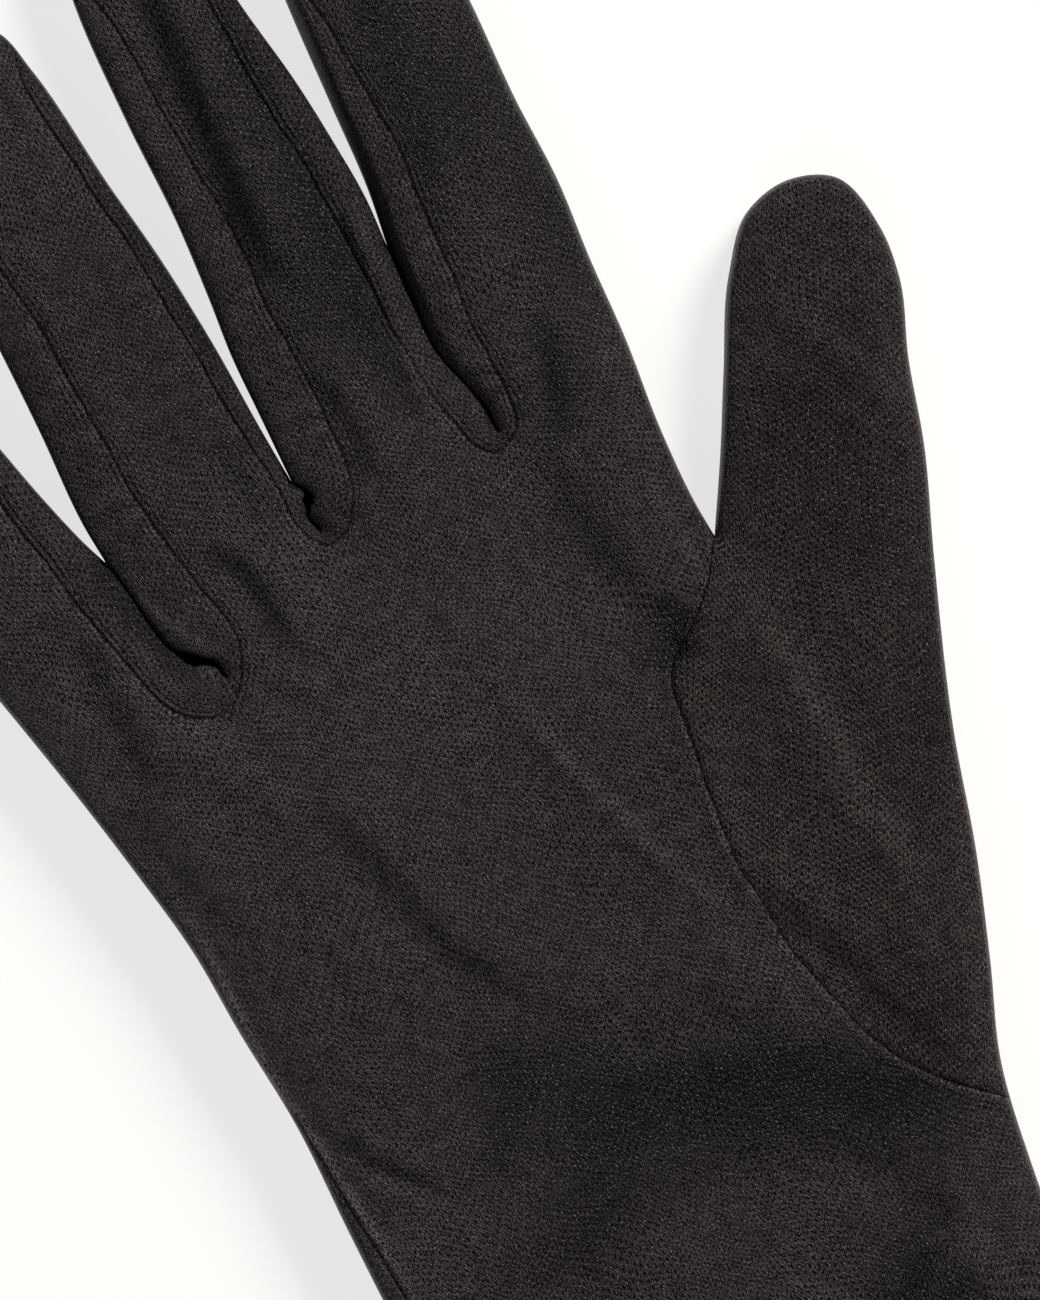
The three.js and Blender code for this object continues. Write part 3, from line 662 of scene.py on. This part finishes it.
def along_thumb(points):
    """A point's place across and along the thumb."""
    x = points[:, 0] - THUMB_ROOT[0]
    y = points[:, 1] - THUMB_ROOT[1]
    cosine = math.cos(THUMB_TURN)
    sine = math.sin(THUMB_TURN)
    return x * cosine - y * sine, x * sine + y * cosine


def crown_height(points, on_thumb):
    """Full height of the upper cloth, and how far in from the edge it is reached."""
    if on_thumb:
        along = along_thumb(points)[1]
        heights = np.array(THUMB_HEIGHTS)
        width = np.full(len(points), THUMB_ROLL)
    else:
        along = points[:, 1]
        heights = np.array(HAND_HEIGHTS)
        width = PALM_ROLL + (FINGER_ROLL - PALM_ROLL) * smooth_step(*KNUCKLES, along)
    return np.interp(along, heights[:, 0], heights[:, 1]), width


def seam_dip(points, name, piece):
    """How far a seam draws the upper cloth down on the side where a piece lies."""
    distance, along, side = near_seam[name](points)
    own_side = -1 if piece == "trank" else 1
    beyond = (side != own_side) & (distance < 2 * SEAM_LAP)
    past = np.where(beyond, distance, 0)
    into = np.where(beyond, 0, distance)
    pucker = uneven_wave(along, *PUCKER_WAVE) * ridge(distance, *PUCKER)
    firm = FIRMNESS[0] + FIRMNESS[1] * uneven_wave(along, *FIRM_WAVE)
    groove = -firm * ridge(into, *GROOVE) - SEAM_SLOPE * past
    if name == "thumb":
        fold = 1 - smooth_step(*FORK_FOLD, along)
        groove *= 1 - FORK_SOFTNESS * fold
        if piece == "thumb":
            depth, width = (plain + (fork - plain) * fold for plain, fork in zip(THUMB_DIP, FORK_DIP))
            return groove - turned_edge(into, depth, width) + pucker
        pit = fold * ridge(distance, *FORK_PIT)
        welt = (1 - fold) * ridge(distance, *WELT)
        return groove - turned_edge(into, *WELT_EDGE) - pit + welt + pucker
    ribs = np.cos(2 * math.pi * (into - FIRST_RIB) / SEAM_RIB)
    if piece == "strip":
        ribs *= ridge(into, *STRIP_RIBS)
        edge = ridge(into, *STRIP_EDGE)
    else:
        ribs *= ridge(into, *TRANK_RIBS)
        edge = turned_edge(into, *TRANK_EDGE)
    return groove - firm * edge - ridge(into, *SHOULDER) + ribs + pucker


def edge_rise(points, piece):
    """Full height of the upper cloth, its share that is reached, and the distance to the edge."""
    crown, width = crown_height(points, piece == "thumb")
    distance = edge_distance(points)
    rise = EDGE_SHARE * roll(distance / EDGE_ROLL) + (1 - EDGE_SHARE) * roll(distance / width)
    for name, near in near_gap.items():
        apart, along, side = near(points)
        left, right = np.array(GAP_SIDES[name])
        to_left = 0.5 + 0.5 * side * smooth_step(0, SIDES_PART, along)
        lip, end_lip, slope_width, roll_width = (right + (left - right) * to_left[:, None]).T
        lip = end_lip + (lip - end_lip) * smooth_step(*LIP_CHANGE, along)
        gape = np.zeros(len(points))
        for place, reach, half in SLIT_GAPES[name]:
            gape = np.maximum(gape, half * bell(along - place, reach))
        edge = roll(np.maximum(distance - gape, 0) / roll_width)
        slope = np.sin(np.pi / 2 * np.clip(distance / slope_width, 0, 1))
        beside = edge * (lip + (1 - lip) * slope)
        beside = beside * (1 - FINGER_SHARE) + FINGER_SHARE * roll(distance / width)
        rise += (1 - smooth_step(*GAP_REACH, apart)) * (beside - rise)
    return crown, rise, distance


def upper_height(points, piece):
    """Height of the upper cloth over the table, for points of a trank, thumb or strip."""
    crown, rise, distance = edge_rise(points, piece)
    height = (crown - EDGE_LEVEL) * rise
    soft = smooth_step(0, FOLD_FADE, distance)
    for _, line, fold_width, fold_rise in FOLDS:
        apart, strength = beside_fold(points, line)
        height += fold_rise * bell(apart, fold_width) * strength * soft
    for _, line, step_width, step_rise in STEPS:
        apart, strength = beside_fold(points, line)
        step = np.tanh(apart / step_width) * bell(apart, STEP_REACH * step_width)
        height += step_rise / 2 * step * strength * soft
    for waves in CRUMPLES:
        height += crumple(points, *waves) * soft
    for name in SEAMS:
        height += seam_dip(points, name, piece) * smooth_step(0, SEAM_FADE, distance)
    if piece == "trank":
        groove = ridge(near_outseam(points)[0], *OUTSEAM_GROOVE)
        height -= groove * smooth_step(*OUTSEAM_FADE, distance)
        height += HEM_RISE * hem_share(points[:, 1]) - ridge(points[:, 1], *HEM_GROOVE)
    return EDGE_LEVEL + np.maximum(height, LEAST_RISE)


def painted_shade_and_light(points):
    """The painted shade and painted light at each point, as a share of the silk's own colour."""
    change = np.zeros(len(points))
    for _, line, width, most in PAINTED_SHADE_LINES:
        apart, strength = beside_fold(points, line)
        change += most * bell(apart, width) * strength
    # Painted shade along the outermost rim of every edge
    change += PAINTED_RIM_SHADE * bell(edge_distance(points), PAINTED_RIM_WIDTH)
    return np.exp(change)


def seam_distance(points):
    """Distance to the nearest seam of a side strip."""
    return np.min([near_seam[name](points)[0] for name in STRIP_SEAMS], axis=0)


def lower_height(points, piece):
    """Height of the cloth that lies on the table."""
    distance = edge_distance(points)
    lift = EDGE_LEVEL * (1 - roll(distance / UNDERSIDE_ROLL))
    for name in SEAMS:
        lift += ridge(near_seam[name](points)[0], *UNDER_SEAM) * smooth_step(0, SEAM_FADE, distance)
    return np.minimum(lift + UNDERSIDE_LIFT, EDGE_LEVEL)


def over_edge(points, piece, normals):
    """How the cloth in slopes and side walls moves each point's place in the knit outward."""
    crown, rise, distance = edge_rise(points, piece)
    if piece == "strip":
        extra = SLOPE_CLOTH * (1 - rise)
        outward = np.tile((1.0, 0.0), (len(points), 1))
    else:
        extra = SLOPE_CLOTH * (1 - np.maximum(rise, EDGE_SHARE)) + np.maximum(EDGE_SHARE - rise, 0)
        level = normals[:, :2] / np.maximum(np.linalg.norm(normals[:, :2], axis=1), 1e-6)[:, None]
        nearest = np.array([near_edge.tree.find((x, y, 0))[0] for x, y in points])[:, :2]
        outward = (nearest - points) / np.maximum(distance, AT_EDGE)[:, None]
        outward /= np.maximum(np.linalg.norm(outward, axis=1), 1)[:, None]
        outward = np.where(distance[:, None] < AT_EDGE, level, outward)
    return outward * (extra * (crown - EDGE_LEVEL))[:, None]


def grain(points, piece, seam, move):
    """Where each point lies in the knit: mm across the ribs and mm along them."""
    if piece == "strip":
        on_left = near_gap[seam](points)[2] > 0
        left, right, right_start = near_half_seams[seam]
        left_apart, left_along, _ = left(points)
        right_apart, right_along, _ = right(points)
        apart = np.where(on_left, left_apart, right_apart)
        along = np.where(on_left, left_along, right_along + right_start)
        return np.column_stack([apart, along]) + move
    if piece == "thumb":
        return np.column_stack(along_thumb(points + move))
    return points + move


def rows_beside(path, offsets, outline_near, closed):
    """Rows of points at set distances from an outline or a line, clear of every other edge."""
    side = side_of_outline(path) if closed else side_of_path(path)
    rows = []
    for offset in offsets:
        clearance = offset * ROW_CLEARANCE if closed else LINE_CLEARANCE
        for sign in ((1,) if closed else (1, -1)):
            row = path + side * offset * sign
            rows.append(row[outline_near(row)[0] > clearance])
    return np.vstack(rows)


def plan_mesh(outline, lines, spacing, edge_rows, line_rows):
    """Triangles over an outline, finer along its edge and along the lines inside it."""
    near = Nearest(np.vstack([outline, outline[:1]]))
    points = [rows_beside(outline, edge_rows, near, True)]
    near_lines = []
    for line in lines:
        near_line = Nearest(line)
        near_lines.append(near_line)
        rows = rows_beside(line, line_rows, near, False)
        points.append(rows[near_line(rows)[0] > line_rows[0] * ROW_CLEARANCE])
    low = outline.min(0)
    high = outline.max(0)
    row_step = spacing * math.sqrt(0.75)
    grid = []
    for k in range(int((high[1] - low[1]) / row_step) + 1):
        x = np.arange(low[0] + spacing / 2 * (k % 2), high[0], spacing)
        grid.append(np.column_stack([x, np.full(len(x), low[1] + k * row_step)]))
    grid = np.vstack(grid)
    clear = near(grid)[0] > edge_rows[-1] + GRID_CLEARANCE * spacing
    for near_line in near_lines:
        clear &= near_line(grid)[0] > line_rows[-1] + GRID_CLEARANCE * spacing
    points.append(grid[clear])
    points = np.vstack(points)
    points = points[inside(points, outline)]
    constraints = []
    fixed = [outline]
    count = len(outline)
    for line in lines:
        kept = line[(near(line)[0] > LINE_END) & inside(line, outline)]
        fixed.append(kept)
        constraints += [(count + k, count + k + 1) for k in range(len(kept) - 1)]
        count += len(kept)
    everything = np.vstack([*fixed, points])
    vectors = [Vector(point) for point in everything.tolist()]
    border = list(range(len(outline)))
    made, _, faces, origins, _, _ = delaunay_2d_cdt(
        vectors, constraints, [border], 1, MERGE_DISTANCE, True
    )
    places = np.array([tuple(point) for point in made])
    faces = np.array(faces)
    faces = faces[inside(places[faces].mean(axis=1), outline)]
    source = np.array([origin[0] if origin else -1 for origin in origins])
    return places, faces, np.where(source < len(outline), source, -1)


def make_piece(name, piece, outline, folded, lines, seam=None):
    """A piece of cloth from its outline: upper and lower sheet, joined where the edge is folded."""
    if not anticlockwise(outline):
        outline = outline[::-1]
        folded = folded[::-1]
    edge_rows, line_rows = (STRIP_ROWS, STRIP_ROWS) if piece == "strip" else (EDGE_ROWS, LINE_ROWS)
    upper, upper_faces, upper_source = plan_mesh(outline, lines, UPPER_SPACING[piece], edge_rows, line_rows)
    lower, lower_faces, lower_source = plan_mesh(outline, lines, UNDER_SPACING, EDGE_ROWS, LINE_ROWS)
    joined = {}
    for k, source in enumerate(upper_source):
        if source >= 0 and folded[source]:
            joined[source] = k
    new_index = np.empty(len(lower), int)
    kept = []
    for k, source in enumerate(lower_source):
        if source in joined:
            new_index[k] = joined[source]
        else:
            new_index[k] = len(upper) + len(kept)
            kept.append(k)
    upper_z = upper_height(upper, piece)
    lower_z = lower_height(lower[kept], piece)
    on_fold = list(joined.values())
    upper_z[on_fold] = EDGE_LEVEL
    plan = np.vstack([upper, lower[kept]])
    height = np.concatenate([upper_z, lower_z])
    faces = np.vstack([upper_faces, new_index[lower_faces][:, ::-1]])
    outer = bpy.data.meshes.new(name + "_outer")
    outer.from_pydata(np.column_stack([plan, height]).tolist(), [], faces.tolist())
    outer.update()
    normals = np.empty(len(plan) * 3)
    outer.vertices.foreach_get("normal", normals)
    normals = normals.reshape(-1, 3)
    bpy.data.meshes.remove(outer)
    thickness = np.full(len(plan), CLOTH)
    if piece == "trank":
        thickness += (HEM_THICKNESS - CLOTH) * hem_share(plan[:, 1])
    corners = np.column_stack([plan, height])
    corners = np.vstack([corners, corners - normals * thickness[:, None]])
    inner_faces = faces[:, ::-1] + len(plan)
    edges = np.vstack([faces[:, (0, 1)], faces[:, (1, 2)], faces[:, (2, 0)]])
    pairs = {(a, b) for a, b in edges.tolist()}
    rim = [(b, a, a + len(plan), b + len(plan)) for a, b in pairs if (b, a) not in pairs]
    mesh = bpy.data.meshes.new(name)
    corners[:, 0] += GLOVE_ORIGIN[0]
    corners[:, 1] += GLOVE_ORIGIN[1]
    triangles = faces.tolist() + inner_faces.tolist()
    mesh.from_pydata((corners * MM).tolist(), [], triangles + rim)
    mesh.update()
    mesh.shade_smooth()
    loops = np.empty(len(mesh.loops), int)
    mesh.loops.foreach_get("vertex_index", loops)
    is_inner, corner = np.divmod(loops, len(plan))
    # The knit runs on down the side walls, and over the rim of an open edge
    on_wall = grain(plan, piece, seam, over_edge(plan, piece, normals))
    over_rim = grain(plan, piece, seam, np.column_stack([np.zeros(len(plan)), -thickness]))
    where = grain(plan, piece, seam, 0)[corner]
    sheet_loops = 3 * len(faces)
    for first in (0, sheet_loops):
        upper_loops = slice(first, first + 3 * len(upper_faces))
        where[upper_loops] = on_wall[corner[upper_loops]]
    on_rim = (np.arange(len(loops)) >= 2 * sheet_loops) & (is_inner == 1)
    where[on_rim] = over_rim[corner[on_rim]]
    layer = mesh.uv_layers.new(name="grain_mm")
    layer.data.foreach_set("uv", where.ravel())
    # The painted shade and light, and each point's distance to the nearest seam, are stored on the mesh
    for attribute, values in (("painted_light_share", painted_shade_and_light(plan)), ("beside_seam", seam_distance(plan))):
        layer = mesh.attributes.new(attribute, "FLOAT", "POINT")
        layer.data.foreach_set("value", np.tile(values, 2))
    made = bpy.data.objects.new(name, mesh)
    bpy.context.collection.objects.link(made)
    return made


def outline_of(*stretches):
    """A closed outline from its stretches, and which of its points lie on a folded edge."""
    points = []
    folded = []
    for path, is_folded in stretches:
        points.append(path[:-1])
        flags = np.full(len(path) - 1, is_folded)
        flags[0] = True
        folded.append(flags)
    return np.vstack(points), np.concatenate(folded)


def lapped(outline, folded):
    """The outline with its sewn edges reaching a little past the seam's line."""
    inward = side_of_outline(outline) * (1 if anticlockwise(outline) else -1)
    return outline - inward * np.where(folded, 0, SEAM_LAP)[:, None]


# Materials
def linear(code):
    """A linear colour from an sRGB hex code."""
    values = []
    for start in (1, 3, 5):
        value = int(code[start:start + 2], 16) / 255
        values.append(value / 12.92 if value <= 0.04045 else ((value + 0.055) / 1.055) ** 2.4)
    return (*values, 1.0)


def add(tree, kind, *inputs, settings=(), **named):
    """A node, or a Math node where the kind is an operation, with its inputs in order or by name.
    Each input is a value, a node's output, or a node, whose first output is meant."""
    made = tree.nodes.new("ShaderNodeMath" if kind.isupper() else "ShaderNode" + kind)
    if kind.isupper():
        made.operation = kind
    for name, value in dict(settings).items():
        setattr(made, name, value)
    sources = list(enumerate(inputs)) + [(name.replace("_", " "), source) for name, source in named.items()]
    for key, source in sources:
        if isinstance(source, bpy.types.Node):
            source = source.outputs[0]
        if isinstance(source, bpy.types.NodeSocket):
            tree.links.new(source, made.inputs[key])
        else:
            made.inputs[key].default_value = source
    return made


# Places of a colour Mix node's sockets
FIRST_COLOUR = 6
SECOND_COLOUR = 7
MIXED_COLOUR = 2


def silk_interlock(name, rib_spacing, stitch_pitch, hollow, cool, warm, glint):
    """Silk interlock: fine filament silk knitted on two beds of needles and dyed black.
    The eye sees slanting legs of stitches with a pinhole between each four, uneven filaments
    that catch the light here and there, and a dye that has worn a little unevenly. The pinholes
    and hollows carry painted shade, and the filaments' light is painted in as highlights and glints."""
    material = bpy.data.materials.new(name)
    material.use_nodes = True
    tree = material.node_tree
    tree.nodes.clear()
    flat = {"noise_dimensions": "2D"}
    place = add(tree, "UVMap", settings={"uv_map": "grain_mm"})
    straight = add(tree, "SeparateXYZ", place).outputs
    noise = {}
    for pattern, (scale, detail) in PATTERNS.items():
        noise[pattern] = add(tree, "TexNoise", settings=flat, Vector=place, Scale=scale, Detail=detail)
    drifts = add(tree, "SeparateColor", noise["drift"].outputs["Color"]).outputs
    shakes = add(tree, "SeparateColor", noise["shake"].outputs["Color"]).outputs

    # The stitches: columns that lean and wander a little, each row half a step from the next
    along = add(tree, "MULTIPLY_ADD", drifts[1], DRIFT, straight[1])
    along = add(tree, "MULTIPLY_ADD", shakes[1], SHAKE, along)
    across = add(tree, "MULTIPLY_ADD", drifts[0], DRIFT, straight[0])
    across = add(tree, "MULTIPLY_ADD", shakes[0], SHAKE, across)
    across = add(tree, "MULTIPLY_ADD", along, COLUMN_LEAN, across)
    rib = add(tree, "MULTIPLY", across, math.pi / rib_spacing)
    stitch = add(tree, "MULTIPLY", along, 2 * math.pi / stitch_pitch)
    wave = {n: add(tree, "COSINE", add(tree, "MULTIPLY", rib, float(n))) for n in (1, 2, 3, 4)}
    legs = add(tree, "MULTIPLY_ADD", wave[3], LEG_SHARPNESS, wave[1])
    columns = add(tree, "MULTIPLY_ADD", wave[4], LEG_SHARPNESS, wave[2])
    rows = add(tree, "MULTIPLY", add(tree, "COSINE", stitch), 2.0)
    pinholes = add(tree, "MULTIPLY_ADD", legs, rows, columns)

    # Filaments lie along the columns. Real ones, about 0.015 mm thick, are too fine to show, so
    # they are drawn in strands of about 0.16 mm.
    lengthwise = (1.0, FILAMENT_LENGTH, 1.0)
    stretched = add(tree, "VectorMath", place, lengthwise, settings={"operation": "MULTIPLY"})
    filaments = add(tree, "TexNoise", settings=flat, Vector=stretched, Scale=FILAMENTS_PER_MM, Detail=0.0)
    beside = add(tree, "Attribute", settings={"attribute_name": "beside_seam"}).outputs["Fac"]
    turn = 2 * math.pi / SEAM_RIB
    ribs = add(tree, "COSINE", add(tree, "MULTIPLY_ADD", beside, turn, -turn * FIRST_RIB))
    ribs = add(tree, "MULTIPLY", ribs, add(tree, "MapRange", beside, *RIB_FADE, 1.0, 0.0))
    relief = add(tree, "MULTIPLY", pinholes, PINHOLE_RELIEF)
    relief = add(tree, "MULTIPLY_ADD", filaments, FILAMENT_RELIEF, relief)
    relief = add(tree, "MULTIPLY_ADD", ribs, RIB_RELIEF, relief)
    bump = add(tree, "Bump", Strength=1.0, Distance=RELIEF, Height=relief)

    # From the painted shade in the hollows to the thread's own colour, and past it in painted highlights
    # where the filaments lie bright
    shade = add(tree, "MULTIPLY_ADD", pinholes, PAINTED_PINHOLE_SHADE, PLAIN_SHADE)
    for patches, change in ((filaments, FILAMENT_GRAIN_AND_GLINT), (noise["wear"], WEAR_SHADE)):
        shade = add(tree, "ADD", shade, add(tree, "MULTIPLY_ADD", patches, change, -change / 2))
    # Painted shade in the seam's groove and painted light on the ribs beside it
    shade = add(tree, "MULTIPLY_ADD", ribs, PAINTED_RIB_SHADE, shade)
    shade = add(tree, "MINIMUM", add(tree, "MAXIMUM", shade, 0.0), BRIGHTEST_PAINTED_HIGHLIGHT)
    tint = add(tree, "MapRange", noise["wear"], *TINT_LEVELS)
    thread = add(tree, "Mix", settings={"data_type": "RGBA"}, Factor=tint)
    thread.inputs[FIRST_COLOUR].default_value = linear(cool)
    thread.inputs[SECOND_COLOUR].default_value = linear(warm)
    cloth = add(tree, "Mix", settings={"data_type": "RGBA", "clamp_factor": False}, Factor=shade)
    cloth.inputs[FIRST_COLOUR].default_value = linear(hollow)
    tree.links.new(thread.outputs[MIXED_COLOUR], cloth.inputs[SECOND_COLOUR])
    # The painted shade and painted light stored on the mesh darken or lighten the colour
    painted_light_share = add(tree, "Attribute", settings={"attribute_name": "painted_light_share"}).outputs["Fac"]
    scaled = {"operation": "SCALE"}
    cloth_with_painted_light = add(tree, "VectorMath", cloth.outputs[MIXED_COLOUR], Scale=painted_light_share, settings=scaled)
    # Painted glints: sparse bright specks where the filaments' highlights are painted into the colour
    glints = add(tree, "MapRange", noise["glints"], *PAINTED_GLINT_LEVELS)
    lit = add(tree, "Mix", settings={"data_type": "RGBA"}, Factor=glints)
    tree.links.new(cloth_with_painted_light.outputs[0], lit.inputs[FIRST_COLOUR])
    lit.inputs[SECOND_COLOUR].default_value = linear(glint)
    finish = add(
        tree, "BsdfPrincipled",
        Base_Color=lit.outputs[MIXED_COLOUR], Roughness=0.5, IOR=1.54, Specular_IOR_Level=0.25,
        Sheen_Weight=0.03, Sheen_Roughness=0.4, Normal=bump,
    )
    add(tree, "OutputMaterial", finish)
    return material


def studio_paper(name, colour):
    """Matte white background paper without gloss. A glow of its own keeps it evenly white."""
    material = bpy.data.materials.new(name)
    material.use_nodes = True
    tree = material.node_tree
    finish = tree.nodes["Principled BSDF"]
    finish.inputs["Base Color"].default_value = linear(colour)
    finish.inputs["Roughness"].default_value = 0.95
    finish.inputs["Specular IOR Level"].default_value = 0.1
    finish.inputs["Emission Color"].default_value = linear(colour)
    finish.inputs["Emission Strength"].default_value = 0.8
    return material


# Make the glove
def build_glove():
    # In each silk, hollow is the colour of the painted shade in the knit's hollows and pinholes, and glint
    # the colour of its painted highlights; the strips' colours are a little darker than the trank's
    silk = {
        "trank": silk_interlock(
            "black silk interlock, ribs along the hand", RIB_SPACING, STITCH_PITCH,
            hollow="#120d0d", cool="#4f4849", warm="#4d4646", glint="#9d9492",
        ),
        "thumb": silk_interlock(
            "black silk interlock, ribs along the thumb", THUMB_RIB_SPACING, THUMB_STITCH_PITCH,
            hollow="#120d0c", cool="#4d4446", warm="#4d4442", glint="#9d9492",
        ),
        "strip": silk_interlock(
            "black silk interlock, ribs along the strip", RIB_SPACING, STITCH_PITCH,
            hollow="#120d0c", cool="#494243", warm="#48413f", glint="#958b88",
        ),
    }
    crossings = {name: meetings(SEAMS[name], EDGE) for name in STRIP_SEAMS}
    # The thumb's seam starts on the edge, so its first points are left out of the search
    skipped = 4
    thumb_end = meetings(SEAMS["thumb"][skipped:], EDGE)[-1]
    thumb_seam = stretch(SEAMS["thumb"], 0, thumb_end[0] + skipped)
    last = len(EDGE) - 1
    trank_parts = []
    start = 0
    made = {}
    for name in ("ring_little", "middle_ring", "index_middle"):
        first = crossings[name][0]
        final = crossings[name][-1]
        seam = stretch(SEAMS[name], first[0], final[0])
        trank_parts.append((stretch(EDGE, start, first[1]), True))
        trank_parts.append((seam, False))
        start = final[1]
        outline, folded = outline_of((stretch(EDGE, first[1], final[1]), True), (seam[::-1], False))
        outline = lapped(outline, folded)
        node = f"fourchette_{name}"
        strip = make_piece(f"side_strip_{name}", "strip", outline, folded, [CLEFT_LINES[name]], name)
        strip.data.materials.append(silk["strip"])
        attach(strip, "root")
        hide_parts(node)
        made[name] = strip
    trank_parts.append((stretch(EDGE, start, THUMB_FORK), True))
    trank_parts.append((thumb_seam, False))
    trank_parts.append((stretch(EDGE, thumb_end[1], last), True))
    cuff = even(np.array([EDGE[-1], EDGE[0]]), EDGE_STEP)
    trank_parts.append((cuff, False))
    outline, folded = outline_of(*trank_parts)
    trank = make_piece("trank_cloth", "trank", lapped(outline, folded), folded, [OUTSEAM_LINE])
    trank.data.materials.append(silk["trank"])
    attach(trank, "root")
    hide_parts("trank_palm", "trank_back")
    outline, folded = outline_of(
        (stretch(EDGE, THUMB_FORK, thumb_end[1]), True), (thumb_seam[::-1], False)
    )
    thumb = make_piece("thumb_cloth", "thumb", lapped(outline, folded), folded, [])
    thumb.data.materials.append(silk["thumb"])
    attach(thumb, "root")
    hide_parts("thumb_palm", "thumb_back")
    made["trank"] = trank
    made["thumb"] = thumb
    return made


glove = build_glove()


# Floor, light and camera
def build_floor():
    mesh = bpy.data.meshes.new("background_paper")
    half = 3.0  # m
    level = -0.0002  # m, just under the glove
    plan = ((-half, -half), (half, -half), (half, half), (-half, half))
    mesh.from_pydata([(x, y, level) for x, y in plan], [], [(0, 1, 2, 3)])
    mesh.materials.append(studio_paper("matte white background paper", "#f4f3f1"))
    floor = bpy.data.objects.new("background_paper", mesh)
    bpy.context.collection.objects.link(floor)


def softbox(name, place, size, power, colour):
    """A square soft light that faces the glove, in m and W."""
    light = bpy.data.lights.new(name, "AREA")
    light.shape = "SQUARE"
    light.size = size
    light.energy = power
    light.color = linear(colour)[:3]
    lamp = bpy.data.objects.new(name, light)
    lamp.location = place
    lamp.rotation_euler = (-Vector(place)).to_track_quat("-Z", "Y").to_euler()
    bpy.context.collection.objects.link(lamp)


def build_light():
    softbox("key_softbox", (2.2, 1.0, 1.4), size=1.0, power=38, colour="#fffbf9")
    softbox("fill_softbox", (-1.5, -1.8, 2.0), size=1.6, power=3.5, colour="#fffdfa")
    world = bpy.data.worlds.new("studio")
    world.use_nodes = True
    sky = world.node_tree.nodes["Background"]
    sky.inputs["Color"].default_value = linear("#e9eaee")
    sky.inputs["Strength"].default_value = 0.08
    bpy.context.scene.world = world
    bpy.context.scene.view_settings.view_transform = "Standard"


def build_camera():
    lens = bpy.data.cameras.new("camera")
    lens.sensor_fit = "VERTICAL"
    lens.sensor_height = SENSOR_HEIGHT
    lens.lens = SENSOR_HEIGHT * CAMERA_HEIGHT / VIEW_HEIGHT
    lens.clip_end = 20
    camera = bpy.data.objects.new("camera", lens)
    camera.location = (CAMERA_AIM[0] * MM, CAMERA_AIM[1] * MM, CAMERA_HEIGHT)
    camera.rotation_euler = (0, 0, CAMERA_TURN)
    bpy.context.collection.objects.link(camera)
    bpy.context.scene.camera = camera


build_floor()
build_light()
build_camera()


def corners(box):
    return [list(corner) for corner in box]
